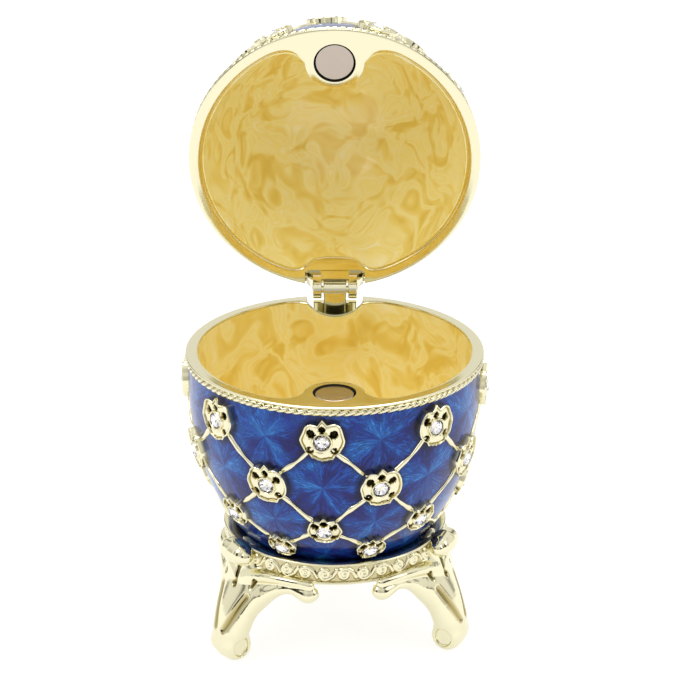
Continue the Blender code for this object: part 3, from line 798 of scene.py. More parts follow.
def enamel(wall, rows, first, last):
    """A closed skin between two lengths up the wall, and each point's place and rib distance.

    The side against the metal never shows, so it has only every twelfth row.
    """
    azimuth = np.linspace(-180, 180, 480, endpoint=False)
    ups = np.linspace(first, last, 85)
    azimuths, levels = np.meshgrid(azimuth, ups)
    front = on_wall(wall, azimuths, levels, 0.0)
    behind = on_wall(wall, azimuths[::-BACK_STEP], levels[::-BACK_STEP], -ENAMEL)
    shape = grid(np.concatenate([front, behind]), wrap_rows=True, wrap_columns=True)
    places = np.stack([azimuths, levels], -1)
    places = np.concatenate([places, places[::-BACK_STEP]]).reshape(-1, 2)
    gap = rib_distance(wall, rows, places[:, 0], places[:, 1])
    # the distance also falls towards both ends of the skin, so pooling and painted shade darken there too
    rim = np.minimum(np.abs(places[:, 1] - first), np.abs(places[:, 1] - last))
    return shape, places, np.minimum(gap, 0.4 + rim)


def add_sunburst(obj, wall, rows, centres, places):
    """The UV map of each face's place in its lozenge, in centimetres, and the lozenge's number."""
    mesh = obj.data
    corners = np.empty(len(mesh.loops), np.int32)
    mesh.loops.foreach_get("vertex_index", corners)
    corners = corners.reshape(-1, 4)
    azimuth, up = places[corners][..., 0], places[corners][..., 1]
    azimuth = azimuth[:, :1] + (azimuth - azimuth[:, :1] + 180) % 360 - 180
    number, x, y = lozenges(wall, rows, centres, azimuth.mean(1), up.mean(1))
    middle_x = np.radians(azimuth - azimuth.mean(1)[:, None]) * radius_at(wall, up.mean(1))[:, None]
    u = x[:, None] + middle_x
    v = y[:, None] + up - up.mean(1)[:, None]
    layer = mesh.uv_layers.new(name="sunburst")
    layer.data.foreach_set("uv", (np.stack([u, v], -1) / 10).astype(np.float32).ravel())
    cell = mesh.attributes.new("cell", "FLOAT", "FACE")
    cell.data.foreach_set("value", (number * CELL_APART).astype(np.float32))


ENAMEL_EDGE = 1.1
BOWL_SKIN = up_at(bowl_wall, -ENAMEL_EDGE), bowl_wall.up[-1] + 0.05
LID_SKIN = up_at(lid_wall, LID_FACE + ENAMEL_EDGE), lid_wall.up[-1] - 1.0
for half, wall, rows, centres, (first, last), slot in (
        ("bowl", bowl_wall, BOWL_ROWS, BOWL_CENTRES, BOWL_SKIN, bowl_slot),
        ("lid", lid_wall, LID_ROWS, LID_CENTRES, LID_SKIN, lid_slot)):
    shape, places, gap = enamel(wall, rows, first, last)
    obj = piece(half + "_enamel", shape, half, blue, {"rib_gap": gap})
    add_sunburst(obj, wall, rows, centres, places)
    cut(obj, slot, half, blue)
    print(obj.name, len(obj.data.polygons), "faces")

# %% [markdown]
# ### Ribs
# A rib is a low rounded strip of gold.  It is laid straight on the unrolled wall, so on the egg
# it bends with it, and its ends run under the rosettes.

# %% Ribs
RIB_HALF, RIB_RISE = 0.34, 0.3
FADING, FADED_SHARE, FADE_DEPTH = 0.35, 0.36, 0.42
hand = np.random.default_rng(4)


def rib(wall, start, end, fading=0.0):
    """A strip between two (azimuth, up) places: half an ellipse across, carried along the wall.

    As in a hand-filled casting, its width wanders, and some sink into the enamel near one end.
    """
    along = np.linspace(0, 1, 32)[:, None]
    turn = full_turn(12)
    azimuth = start[0] + (end[0] - start[0]) * along
    up = start[1] + (end[1] - start[1]) * along
    radius = radius_at(wall, up)
    run, rise = math.radians(end[0] - start[0]) * float(radius.mean()), end[1] - start[1]
    length = math.hypot(run, rise)
    wave, swing = hand.uniform(0, 6.28, 2)
    width = 1 + 0.22 * np.sin(13 * along + wave) + 0.12 * np.sin(31 * along + swing)
    across = RIB_HALF * width * np.cos(turn) + 0.09 * np.sin(11 * along + swing)
    from_end = along if hand.uniform() < 0.5 else 1 - along
    sunk = np.clip((FADED_SHARE - from_end) / 0.1, 0, 1) * (hand.uniform() < fading)
    out = RIB_RISE * (0.75 + 0.25 * width) * np.sin(turn) - 0.02 - FADE_DEPTH * sunk
    x, y = -rise / length * across, run / length * across
    return capped(on_wall(wall, azimuth + np.degrees(x / radius), up + y, out))


def ribs(wall, rows):
    """Ribs from every crossing to the two nearest in the next row; they fade only at rosettes."""
    strips = []
    for low, high in zip(rows, rows[1:]):
        for k in range(AROUND):
            azimuth = crossing_azimuth(low, k)
            for other in (azimuth - PITCH / 2, azimuth + PITCH / 2):
                bare = not high.size or hidden(low, azimuth) or hidden(high, other)
                strips.append(rib(wall, (azimuth, up_at(wall, low.height)),
                                  (other, up_at(wall, high.height)), 0.0 if bare else FADING))
    return strips


bowl_ribs = ribs(bowl_wall, BOWL_ROWS)
lid_ribs = ribs(lid_wall, LID_ROWS)
for k in range(AROUND):
    azimuth = crossing_azimuth(LID_ROWS[-1], k)
    start = up_at(lid_wall, LID_ROWS[-1].height)
    lid_ribs.append(rib(lid_wall, (azimuth, start), (azimuth, LID_SKIN[-1])))
piece("bowl_ribs", together(bowl_ribs), "bowl", gold)
piece("lid_ribs", together(lid_ribs), "lid", gold)
print(len(bowl_ribs), "ribs on the bowl,", len(lid_ribs), "on the lid")

# %% [markdown]
# ### Rosettes
# Each rosette is a small casting: a scalloped outline with a pointed tip, a bright bead along
# its edge, a collar for the stone and five pits.  In polar form it is a height over angle and
# distance, with steep rows at the edge for the side walls.

# %% One rosette
# outline: (degrees from the right, mm from the middle), from the tip down the right side
OUTLINE = ((90, 3.55), (84, 3.2), (76, 2.78), (68, 3.1), (58, 3.5), (47, 3.58), (32, 3.35), (18, 3.3),
           (6, 3.3), (-8, 3.12), (-22, 3.02), (-34, 2.95), (-44, 2.72), (-52, 2.78), (-60, 3.02),
           (-69, 2.85), (-78, 2.92), (-84, 2.8), (-90, 2.92))
# pits: degrees, mm from the middle, half length, half width, and turn of their long side
PITS = ((91, 1.98, 0.42, 0.4, 0), (36, 2.08, 0.52, 0.44, 60), (143, 2.06, 0.54, 0.45, 120),
        (-37, 2.12, 0.4, 0.34, 40), (-143, 2.1, 0.42, 0.36, 140))
COLLAR = 1.38
SOCKET_FLOOR = 0.3
PIT_DEPTH = 0.5


def rosette_outline(angle):
    """Radius of the edge at angles in radians: the right side's points, mirrored and narrower."""
    degrees = (np.degrees(angle) + 270) % 360 - 270
    right = np.where(degrees < -90, -180 - degrees, degrees)
    table = np.array(OUTLINE[::-1], float)
    radius = np.interp(right, table[:, 0], table[:, 1])
    return radius * np.where(np.cos(angle) < 0, 1 + 0.06 * np.cos(angle), 1.0)


def rosette(size):
    """Points (x, y, out) of a rosette and how deep in a hollow each one lies, which also sets the painted
    shade there; no two are quite alike.
    """
    angle = full_turn(72)
    first, second = hand.uniform(0, 6.28, 2)
    uneven = 1 + 0.018 * np.sin(3 * angle + first) + 0.014 * np.sin(8 * angle + second)
    edge = rosette_outline(angle) * size * uneven
    level = 0 * edge
    collar = COLLAR * (0.86 if size < 1 else 1.0)
    low, top = 0.66 * size ** 0.5, 0.94 * size ** 0.5
    # the socket and its collar, then the bead and the side wall, as (mm from collar or edge, height)
    inner = ((-collar, SOCKET_FLOOR), (-0.22, SOCKET_FLOOR), (-0.17, top - 0.12), (-0.07, top),
             (0.04, top - 0.03), (0.16, low))
    outer = ((-0.36, low - 0.05), (-0.24, top - 0.05), (-0.13, top), (-0.03, top - 0.1), (0.0, top - 0.25),
             (0.0, -0.1))
    share = np.linspace(0, 1, 15)[1:-1, None]
    face = collar + 0.22 + (edge - 0.42 - collar - 0.22) * share
    dents = 0.05 * np.sin(4 * angle + second) + 0.035 * np.sin(9 * angle + first)
    plate = low + dents + 0.08 * np.sin(math.pi * share)
    distance = np.concatenate([*(level + collar + away for away, _ in inner), face,
                               *(edge + away for away, _ in outer)])
    out = np.concatenate([*(level + height for _, height in inner), plate,
                          *(level + height for _, height in outer)])
    x, y = distance * np.cos(angle), distance * np.sin(angle)
    # how deep in a hollow each point lies: it sinks the face there and darkens it as painted shade
    pit = np.zeros(x.shape)
    for degrees, reach, half_long, half_wide, turn in PITS:
        middle = math.radians(degrees)
        dx, dy = x - reach * size * math.cos(middle), y - reach * size * math.sin(middle)
        c, s = math.cos(math.radians(turn)), math.sin(math.radians(turn))
        long, wide = (dx * c + dy * s) / half_long, (dy * c - dx * s) / half_wide
        depth = np.clip(2.2 * (1.3 - np.hypot(long, wide)), 0, 1)
        pit = np.maximum(pit, depth * (distance > collar + 0.02))
    out = out - PIT_DEPTH * pit * (out > 0.5)
    # painted shade in the groove inside the bead
    groove = -len(outer)
    pit[groove] = np.maximum(pit[groove], 0.3)
    return x, y, out, pit


def lay_on_wall(wall, azimuth, up, x, y, out):
    """Points drawn flat, laid on the wall around a place on it."""
    radius = radius_at(wall, up + y)
    return on_wall(wall, azimuth + np.degrees(x / radius), up + y, out)


# %% Rosettes in their rows
def crossings(rows):
    """Label, azimuth, height and size of every rosette, but none at the hinge or behind a leg."""
    for row in rows:
        for k in range(AROUND):
            azimuth = crossing_azimuth(row, k)
            if not hidden(row, azimuth):
                yield f"{row.name}{k + 1}", azimuth, row.height, row.size


STUD_RADIUS, STUD_RISE = 1.15, 0.62
apex = LID_AXIS - BELLY_DROP
PLACES = {"bowl": list(crossings(BOWL_ROWS)), "lid": list(crossings(LID_ROWS))}


def stud():
    """A small dome: rows of shrinking circles, from a foot set into the wall."""
    angle = full_turn(20)
    rise = np.linspace(0, math.pi / 2, 8)[:, None]
    distance = np.concatenate([STUD_RADIUS + 0 * angle, STUD_RADIUS * np.cos(rise) + 0 * angle])
    out = np.concatenate([-0.1 + 0 * angle, STUD_RISE * np.sin(rise) + 0 * angle])
    return distance * np.cos(angle), distance * np.sin(angle), out


def on_crown(x, y, out):
    """Points drawn flat, laid on the lid's top, a shallow dome, with the tip to the front."""
    sag = (x ** 2 + y ** 2) / 2 / (BELLY_RADIUS ** 2 / LID_AXIS)
    return np.stack([-x, -y, apex + out - sag], -1)


def backed(points):
    """Rows of points as a shape, its back closed by a collapsed last row."""
    back = np.repeat(points[-1].mean(0)[None, None], points.shape[1], 1)
    return grid(np.concatenate([points, back]), wrap_columns=True)


def rosette_group(half):
    """Every rosette of one half as one shape, with the painted shade of its hollows."""
    wall, _, _ = SIDES[half]
    shapes, painted_pit_shade = [], []
    for _, azimuth, height, size in PLACES[half]:
        if size:
            x, y, out, pit = rosette(size)
            shapes.append(backed(lay_on_wall(wall, azimuth, up_at(wall, height), x, y, out)))
            painted_pit_shade += [pit, 0 * pit[:1]]
    if half == "lid":
        x, y, out, pit = rosette(1.0)
        shapes.append(backed(on_crown(x, y, out)))
        painted_pit_shade += [pit, 0 * pit[:1]]
    return together(shapes), np.concatenate(painted_pit_shade).ravel()


print("a rosette has", rosette(1.0)[0].size, "points")
for half in HALVES:
    shape, painted_pit_shade = rosette_group(half)
    obj = piece(half + "_rosettes", shape, half, gold, {"pit": painted_pit_shade}, 30)
    print(obj.name, len(obj.data.polygons), "faces")
studs = [backed(lay_on_wall(lid_wall, azimuth, up_at(lid_wall, height), *stud()))
         for _, azimuth, height, size in PLACES["lid"] if not size]
piece("lid_studs", together(studs), "lid", gold)

# %% [markdown]
# ### Stones
# A stone's crown has a flat table, a ring of kites and small triangles down to its widest line,
# and its back is a cone of facets.  Flat shading keeps every facet a mirror of its own.

# %% Stones
# rows of the cut, as number of points, radius, height and turn: table, star points and girdle
CUT_ROWS = ((8, 0.6, 1.26, 0.0), (8, 0.9, 1.03, math.pi / 8), (16, 1.13, 0.76, 0.0))
CUT_TIP = 0.22


def stone_points():
    """The points of the cut, row by row, and last the tip of its back, as (x, y, out)."""
    rows = []
    for count, radius, out, shift in CUT_ROWS:
        turn = full_turn(count)[0] + shift
        rows.append(np.stack([radius * np.cos(turn), radius * np.sin(turn), np.full(count, out)], -1))
    return np.concatenate([*rows, [[0, 0, CUT_TIP]]])


def stone_faces():
    """Faces of the crown, then of the back."""
    crown = [list(range(8))]
    for k in range(8):
        after, before = (k + 1) % 8, (k - 1) % 8
        crown.append([k, 8 + k, after])
        crown.append([k, 8 + before, 16 + 2 * k, 8 + k])
        crown.append([8 + k, 16 + 2 * k, 16 + 2 * k + 1])
        crown.append([8 + k, 16 + 2 * k + 1, 16 + (2 * k + 2) % 16])
    back = [[16 + k, 32, 16 + (k + 1) % 16] for k in range(16)]
    return crown, back


def add_stone(name, points, body):
    """A stone with a glass crown and a foil back, in place of its solid."""
    crown, back = stone_faces()
    mesh = bpy.data.meshes.new(name)
    mesh.from_pydata(points.tolist(), [], crown + back)
    bm = bmesh.new()
    bm.from_mesh(mesh)
    bmesh.ops.recalc_face_normals(bm, faces=bm.faces)
    bm.to_mesh(mesh)
    bm.free()
    mesh.materials.append(glass)
    mesh.materials.append(foil)
    mesh.polygons.foreach_set("material_index", [0] * len(crown) + [1] * len(back))
    obj = new_object(name + "_stone", mesh)
    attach(obj, body)
    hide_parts(name)
    made.append(obj.name)


cut_stone = stone_points()
for half, (place, body) in HALVES.items():
    wall, _, _ = SIDES[half]
    for label, azimuth, height, size in PLACES[half]:
        if size:
            local = lay_on_wall(wall, azimuth, up_at(wall, height), *cut_stone.T)
            add_stone(f"crystal_{half}_{label}", place(local), body)
add_stone("crystal_lid_crown", place_lid(on_crown(*cut_stone.T)), "lid")
print(len(made), "pieces so far")

# %% [markdown]
# ## Rope borders
# A border of twisted strands runs under each rim.  Its section is a circle whose radius dips
# between the strands, and the dips wind around it as it goes along.

# %% Rope borders
STRANDS = 110
ROPE_RADIUS, ROPE_DIP, ROPE_AT, ROPE_DROP = 0.61, 0.28, 21.82, 0.95
ROPE_END = 180 - 11.6


def rope(half):
    """A tube around the rim, open at the hinge: its radius falls to a cusp between the strands.

    Also returns how deep between the strands each point lies, which paints shade there.
    """
    _, sign, face = SIDES[half]
    along = np.radians(np.linspace(-ROPE_END, ROPE_END, 1480))[:, None]
    turn = full_turn(14)
    slip = 0.5 * np.sin(along * 9) + 0.3 * np.sin(along * 23 + 1)
    swell = np.abs(np.cos(along * STRANDS / 2 - 1.5 * turn + slip)) ** 0.6
    worn = 0.72 + 0.28 * np.sin(along * 7 + 2) * np.sin(along * 17)
    radius = ROPE_RADIUS - ROPE_DIP * worn * (1 - swell)
    height = face + sign * ROPE_DROP + radius * np.sin(turn)
    points = polar(ROPE_AT + radius * np.cos(turn), along, height)
    # painted shade between the strands, deepest where they dip most
    gap = np.clip(1.2 - 1.9 * swell, 0, 1) * worn
    strand_shade = np.vstack([0 * gap[:1], gap, 0 * gap[:1]])
    return capped(points), strand_shade.ravel()


for half in HALVES:
    strands, strand_shade = rope(half)
    piece(half + "_rope", strands, half, gold, {"pit": strand_shade}, 60)
print(STRANDS, "strands in each rope")

# %% [markdown]
# ## Hinge
# The bowl carries the middle knuckle on a leaf in its slot, and the lid the two outer ones on
# short arms.  A pin with chamfered ends runs through all three, and stands a little out of them.

# %% Hinge
BARREL, KNUCKLE_HALF, HINGE_HALF, HINGE_PLAY = 1.43, 1.8, 3.5, 0.3
PIN_HALF, PIN_RADIUS = 3.62, 0.62
LEAF_BOTTOM = -5.4


def barrel(start, end, radius, edge):
    """A round bar along the hinge line with chamfered ends: a profile carried around X."""
    profile = np.array([(start, 0), (start, radius - edge), (start + edge, radius), (end - edge, radius),
                        (end, radius - edge), (end, 0)])
    turn = full_turn(56)
    x, r = profile[:, :1], profile[:, 1:]
    points = np.stack([x + 0 * turn, HINGE_BACK + r * np.cos(turn), HINGE_RISE + r * np.sin(turn)], -1)
    return grid(points, wrap_columns=True)


# half of an arm's outline, to the side and up, from the knuckle's inner end round to the lid
ARM = np.array([(2.15, 0.35), (3.45, 0.35), (4.5, 1.9), (4.5, 2.4), (2.15, 2.4)])
# the middle knuckle, the leaf below it, and the leaf's broad foot
bowl_parts = [barrel(-KNUCKLE_HALF, KNUCKLE_HALF, BARREL, 0.1),
              prism(rounded(-1.75, 1.75, 21.3, 22.9, 0.25), LEAF_BOTTOM, HINGE_RISE),
              prism(rounded(-3.4, 3.4, 21.4, 22.8, 0.2), LEAF_BOTTOM, -1.02)]
# a knuckle and an arm on each side; a block and a thin plate join the arms over the middle knuckle
lid_parts = []
for side in (-1, 1):
    start, end = sorted((side * (KNUCKLE_HALF + HINGE_PLAY), side * HINGE_HALF))
    lid_parts.append(barrel(start, end, BARREL, 0.1))
    lid_parts.append(swap(prism(ARM * (side, 1), 20.4, 22.85, 0.1), [0, 2, 1]))
lid_parts.append(prism(rounded(-2.3, 2.3, 19.9, 21.4, 0.1), 0.9, 2.4))
lid_parts.append(prism(rounded(-2.2, 2.2, 21.1, 22.85, 0.1), 2.1, 2.45))
piece("bowl_knuckle", together([outward(part) for part in bowl_parts]), "bowl", gold)
piece("lid_knuckles", together([outward(part) for part in lid_parts]), "lid", gold)
pin = piece("hinge_pin_with_heads", barrel(-PIN_HALF, PIN_HALF, PIN_RADIUS, 0.2), "bowl", gold)
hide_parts("hinge_pin")
print("hinge", len(bowl_parts) + len(lid_parts), "parts and a pin")

# %% [markdown]
# ## Magnets
# Each magnet is a plated disc with a rounded edge, set just below the rim in its recess.

# %% Magnets
def disc(low, high):
    """A disc with a rounded edge: a profile turned about an upright axis."""
    profile = np.array([(0, low), (2.84, low), (2.9, low + 0.1), (2.9, high - 0.3), (2.87, high - 0.14),
                        (2.78, high - 0.04), (2.62, high), (0, high)])
    turn = full_turn(72)
    r, z = profile[:, :1], profile[:, 1:]
    points = np.stack([r * np.cos(turn), r * np.sin(turn) - MAGNET_AT, z + 0 * turn], -1)
    return grid(points, wrap_columns=True)


for half, low, high in (("bowl", -1.8, -0.14), ("lid", 0.6, 2.1)):
    obj = piece(f"magnet_{half}_disc", disc(low, high), half, nickel)
    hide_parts("magnet_" + half)
    print(obj.name, len(obj.data.polygons), "faces")

# %% [markdown]
# ## Stand
# The ring carries a band of running scrolls between two fillets.  The scroll is one spiral line
# with a tail, mirrored up and down from one repeat to the next.  Relief is a height over the
# distance from that line, worked out once for two repeats and copied around.

# %% Ring with its frieze
RING_RADIUS, RING_TOP, RING_BOTTOM = 17.1, -27.65, -31.1
REPEATS = 36
BAND_HALF, BAND_SUNK, BAND_RISE, SCROLL_HALF_WIDTH = 1.2, 0.42, 0.3, 0.27
SEAT_PLAY = 0.06
# the fillets above and below the band, as (mm out from the ring's radius, mm from its top or bottom)
TOP_FILLET = ((-1.3, 0.05), (-1.2, 0.0), (-0.35, 0.0), (-0.15, 0.04), (0.0, 0.18), (0.0, 0.3),
              (-0.12, 0.42))
BOTTOM_FILLET = ((-0.12, 0.42), (0.0, 0.3), (0.0, 0.16), (-0.14, 0.03), (-0.3, 0.0), (-3.4, 0.0),
                 (-3.5, 0.12))


def polyline_distance(x, y, line):
    """Distance from every place to a line of points: the least over its straight parts."""
    nearest = np.full(x.shape, FAR)
    for (x0, y0), (x1, y1) in zip(line, line[1:]):
        dx, dy = x1 - x0, y1 - y0
        share = np.clip(((x - x0) * dx + (y - y0) * dy) / (dx * dx + dy * dy), 0, 1)
        nearest = np.minimum(nearest, np.hypot(x - x0 - dx * share, y - y0 - dy * share))
    return nearest


def scroll_line(width, half_height):
    """A spiral eye with a tail that runs on to the next repeat."""
    turn = np.linspace(0, 3.4 * math.pi, 26)
    size = 0.16 + (half_height * 0.78 - 0.16) * turn / turn[-1]
    eye = np.column_stack([size * np.cos(turn + 0.9), size * np.sin(turn + 0.9)])
    tail = np.array([[width * 0.42, -half_height * 0.25], [width * 0.6, half_height * 0.5]])
    return np.concatenate([eye, tail])


def frieze():
    """Relief of two repeats, as rows up the band and columns across it."""
    width = 2 * math.pi * RING_RADIUS / REPEATS
    x, y = np.meshgrid(np.linspace(0, 2 * width, 50, endpoint=False), np.linspace(-1, 1, 30) * BAND_HALF)
    line = scroll_line(width, BAND_HALF)
    distance = np.full(x.shape, FAR)
    for k in (-1, 0, 1, 2):
        flip = 1 if k % 2 else -1
        distance = np.minimum(distance, polyline_distance(x - width * (k + 0.5), y * flip, line))
    return np.clip(1.45 - distance / SCROLL_HALF_WIDTH, 0, 1)


def ring():
    """The ring's closed profile carried round: the frieze outside, and the bowl's seat inside."""
    relief = np.tile(frieze(), (1, REPEATS // 2))
    turn = np.linspace(-math.pi, math.pi, relief.shape[1], endpoint=False)
    rows = [polar(RING_RADIUS + out, turn, RING_TOP - down) for out, down in TOP_FILLET]
    heights = np.linspace(RING_TOP - 0.5, RING_BOTTOM + 0.5, len(relief))
    ground = RING_RADIUS - BAND_SUNK
    rows += [polar(ground + BAND_RISE * line, turn, z) for line, z in zip(relief[::-1], heights)]
    rows += [polar(RING_RADIUS + out, turn, RING_BOTTOM + up) for out, up in BOTTOM_FILLET]
    seat = np.linspace(RING_BOTTOM + 0.62, RING_TOP - 0.1, 9)
    inner = BELLY_RADIUS * np.sqrt(1 - ((seat + BELLY_DROP) / BOWL_AXIS) ** 2) + SEAT_PLAY
    rows += [polar(radius, turn, z) for radius, z in zip(inner, seat)]
    # painted shade on the frieze's sunken ground between the scrolls
    pit = np.zeros((len(rows), len(turn)))
    pit[len(TOP_FILLET):len(TOP_FILLET) + len(relief)] = 0.2 * (1 - relief[::-1])
    return grid(np.stack(rows), wrap_rows=True, wrap_columns=True), pit.ravel()


ring_shape, ring_painted_shade = ring()
ring_obj = piece("stand_ring", ring_shape, "bowl", gold, {"pit": ring_painted_shade}, 50)
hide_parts("stand")
print("ring", len(ring_obj.data.polygons), "faces")

# %% [markdown]
# ### Legs
# A leg is modelled like soft wax: fat and thin lines are melted together, and channels are
# pressed in.  Each line gives a signed distance, a smooth minimum melts them, and a smooth
# maximum presses.  The surface where the distance is nought is then drawn out as a mesh, and
# every point is drawn on to it exactly, since polished metal shows every dent.

# %% Distances
def through(points, steps=6):
    """A smooth line through points: a Catmull-Rom curve with so many steps to a span."""
    p = np.asarray(points, float)
    p = np.vstack([2 * p[0] - p[1], p, 2 * p[-1] - p[-2]])
    t = np.linspace(0, 1, steps, endpoint=False)[:, None]
    spans = []
    for a, b, c, d in zip(p, p[1:], p[2:], p[3:]):
        bend, twist = 2 * a - 5 * b + 4 * c - d, 3 * b - a - 3 * c + d
        spans.append(0.5 * (2 * b + (c - a) * t + bend * t ** 2 + twist * t ** 3))
    return np.vstack([*spans, p[-2]])


def tube_distance(x, y, z, line):
    """Signed distance from a line of balls (x, y, z, radius), joined by cones."""
    nearest = np.full(np.shape(x), 10 * FAR, np.float32)
    line = np.asarray(line, np.float32)
    for a, b in zip(line, line[1:]):
        d = b[:3] - a[:3]
        share = ((x - a[0]) * d[0] + (y - a[1]) * d[1] + (z - a[2]) * d[2]) / max(float(d @ d), 1e-9)
        share = np.clip(share, 0, 1)
        gap = np.sqrt((x - a[0] - d[0] * share) ** 2 + (y - a[1] - d[1] * share) ** 2
                      + (z - a[2] - d[2] * share) ** 2)
        nearest = np.minimum(nearest, gap - a[3] - (b[3] - a[3]) * share)
    return nearest


def smooth_max(a, b, blend):
    """The larger of two distances, rounded in the same way."""
    return -smooth_min(-a, -b, blend)


def bent(line):
    """(angle from the leg, height, radius, distance from the egg's axis) as (x, y, z, radius)."""
    line = np.asarray(line, float)
    turn = np.radians(line[:, 0])
    return np.column_stack([line[:, 3] * np.sin(turn), line[:, 3] * np.cos(turn), line[:, 1], line[:, 2]])


# %% The leg
GROUND = -46.0
# by height, how much wider than thick a leg is
LEG_WIDEN = ((-42.0, 1.4), (-38.0, 1.75), (-34.5, 2.25), (-31.0, 2.3), (-28.5, 1.8))
# a leg's middle line in its own upright plane: out from the axis, height and half thickness
LEG_LINE = ((15.4, -29.0, 1.7), (15.6, -31.0, 1.95), (16.6, -34.6, 2.2), (18.3, -38.2, 2.35),
            (19.4, -41.4, 2.4))
ROLL_LINE = ((0, 18.15, -28.55, 1.95), (1.3, 18.15, -28.6, 1.75), (2.3, 18.1, -28.65, 1.2))
# wings: angle from the leg, height, half thickness and distance from the egg's axis
LOWER_WING = ((6, -37.3, 1.6, 17.2), (14, -35.3, 1.4, 16.9), (20, -33.85, 1.15, 16.9),
              (26, -32.7, 1.0, 16.9), (32, -32.3, 0.9, 16.9), (37, -32.6, 1.15, 16.9),
              (40.5, -32.9, 1.35, 16.9), (42.3, -32.8, 1.2, 16.9))
UPPER_WING = ((4, -33.0, 1.4, 16.9), (10, -32.0, 1.1, 17.0), (18, -31.4, 0.85, 17.05),
              (28, -31.1, 0.72, 17.1), (36, -31.15, 0.7, 17.1), (41.5, -31.4, 0.8, 17.0))
WEB = ((5, -35.2, 1.5, 16.2), (12, -33.9, 1.3, 16.25), (20, -32.7, 0.95, 16.3),
       (30, -32.0, 0.75, 16.3), (38, -32.1, 0.7, 16.2))
# each with its steps to a span, and how softly it melts in
WINGS = ((LOWER_WING, 3, 1.2), (UPPER_WING, 3, 0.4), (WEB, 2, 0.5))
# the foot is a roll lying across, fuller in its middle, with a round hollow in each end
FOOT_RADIUS, FOOT_HALF, FOOT_OUT, FOOT_BELLY = 2.5, 3.05, 19.5, 0.05
FOOT_UP = GROUND + FOOT_RADIUS
FOOT_ROUND, FOOT_BLEND = 1.2, 0.9
EYE_RADIUS, EYE_NARROW, EYE_IN, EYE_DEPTH, EYE_BLEND = 1.5, 0.85, 0.15, 0.8, 0.6
CHANNEL_BLEND, MARK_BLEND, ROLL_BLEND = 0.9, 0.45, 0.35
BOWL_PLAY, BOWL_BLEND, GROUND_BLEND = 0.05, 0.15, 0.2
leg_line = through(np.column_stack([np.zeros(len(LEG_LINE)), LEG_LINE]))
flat_line = leg_line[:, 1:3]
tangent = np.gradient(flat_line, axis=0)
tangent /= np.linalg.norm(tangent, axis=1)[:, None]
front = np.column_stack([-tangent[:, 1], tangent[:, 0]])


def widening(height):
    """How much wider than thick a leg is at a height."""
    return np.interp(height, *zip(*LEG_WIDEN))


def on_front(start, end, side, radius):
    """A line on the leg's front between two shares of its length, fading out at both ends.

    Its distance to the side runs evenly between two values.
    """
    share = np.linspace(0, 1, len(leg_line))
    at = np.linspace(start, end, 9)
    columns = (*flat_line.T, *front.T, leg_line[:, 3])
    middle = np.column_stack([np.interp(at, share, column) for column in columns])
    x = np.linspace(*side, 9)
    reach = middle[:, 4] * np.sqrt(1 - (x / middle[:, 4] / widening(middle[:, 1])) ** 2)
    yz = middle[:, :2] + middle[:, 2:4] * reach[:, None]
    fade = np.sqrt(np.sin(math.pi * np.linspace(0.06, 0.94, 9)))
    return np.column_stack([x, yz, radius * fade])


# pressed into the front: a soft channel on each side, and sharper marks, which are slits at the
# wings' roots, a stroke and three dots
CHANNEL = on_front(0.58, 1.0, (3.1, 1.0), 0.2)
MARKS = (on_front(0.3, 0.46, (3.8, 3.4), 0.26), on_front(0.28, 0.5, (0.1, -0.1), 0.2),
         on_front(0.47, 0.53, (0, 0), 0.36), on_front(0.26, 0.3, (0, 0), 0.28),
         on_front(0.17, 0.2, (0, 0), 0.27))


def leg_distance(points):
    """Signed distance from one leg, whose own right and left sides are alike."""
    x, y, z = np.abs(points[..., 0]), points[..., 1], points[..., 2]
    shape = tube_distance(x / widening(z), y, z, leg_line) * 1.3
    around_foot = np.hypot(y - FOOT_OUT, z - FOOT_UP)
    belly = FOOT_RADIUS - FOOT_BELLY * x ** 2
    over, beside = around_foot - belly + FOOT_ROUND, x - FOOT_HALF + FOOT_ROUND
    outside = np.hypot(np.maximum(over, 0), np.maximum(beside, 0))
    foot = outside + np.minimum(np.maximum(over, beside), 0) - FOOT_ROUND
    shape = smooth_min(shape, foot, FOOT_BLEND)
    eye = np.hypot((y - FOOT_OUT + EYE_IN) / EYE_NARROW, z - FOOT_UP) - EYE_RADIUS
    shape = smooth_max(shape, -np.maximum(eye, FOOT_HALF - EYE_DEPTH - x), EYE_BLEND)
    for line, steps, blend in WINGS:
        shape = smooth_min(shape, tube_distance(x, y, z, through(bent(line), steps)), blend)
    shape = smooth_max(shape, -tube_distance(x, y, z, CHANNEL), CHANNEL_BLEND)
    for line in MARKS:
        shape = smooth_max(shape, -tube_distance(x, y, z, line), MARK_BLEND)
    shape = smooth_min(shape, tube_distance(x, y, z, ROLL_LINE), ROLL_BLEND)
    upright = (z + BELLY_DROP) * BELLY_RADIUS / BOWL_AXIS
    bowl = (np.sqrt(x ** 2 + y ** 2 + upright ** 2) - BELLY_RADIUS) * 0.9
    bowl = np.where(z < -BOWL_DEPTH, 0.5, bowl)
    shape = smooth_max(shape, BOWL_PLAY - bowl, BOWL_BLEND)
    return smooth_max(shape, GROUND - z, GROUND_BLEND)


# %% From a distance to a mesh
CELL = 0.18


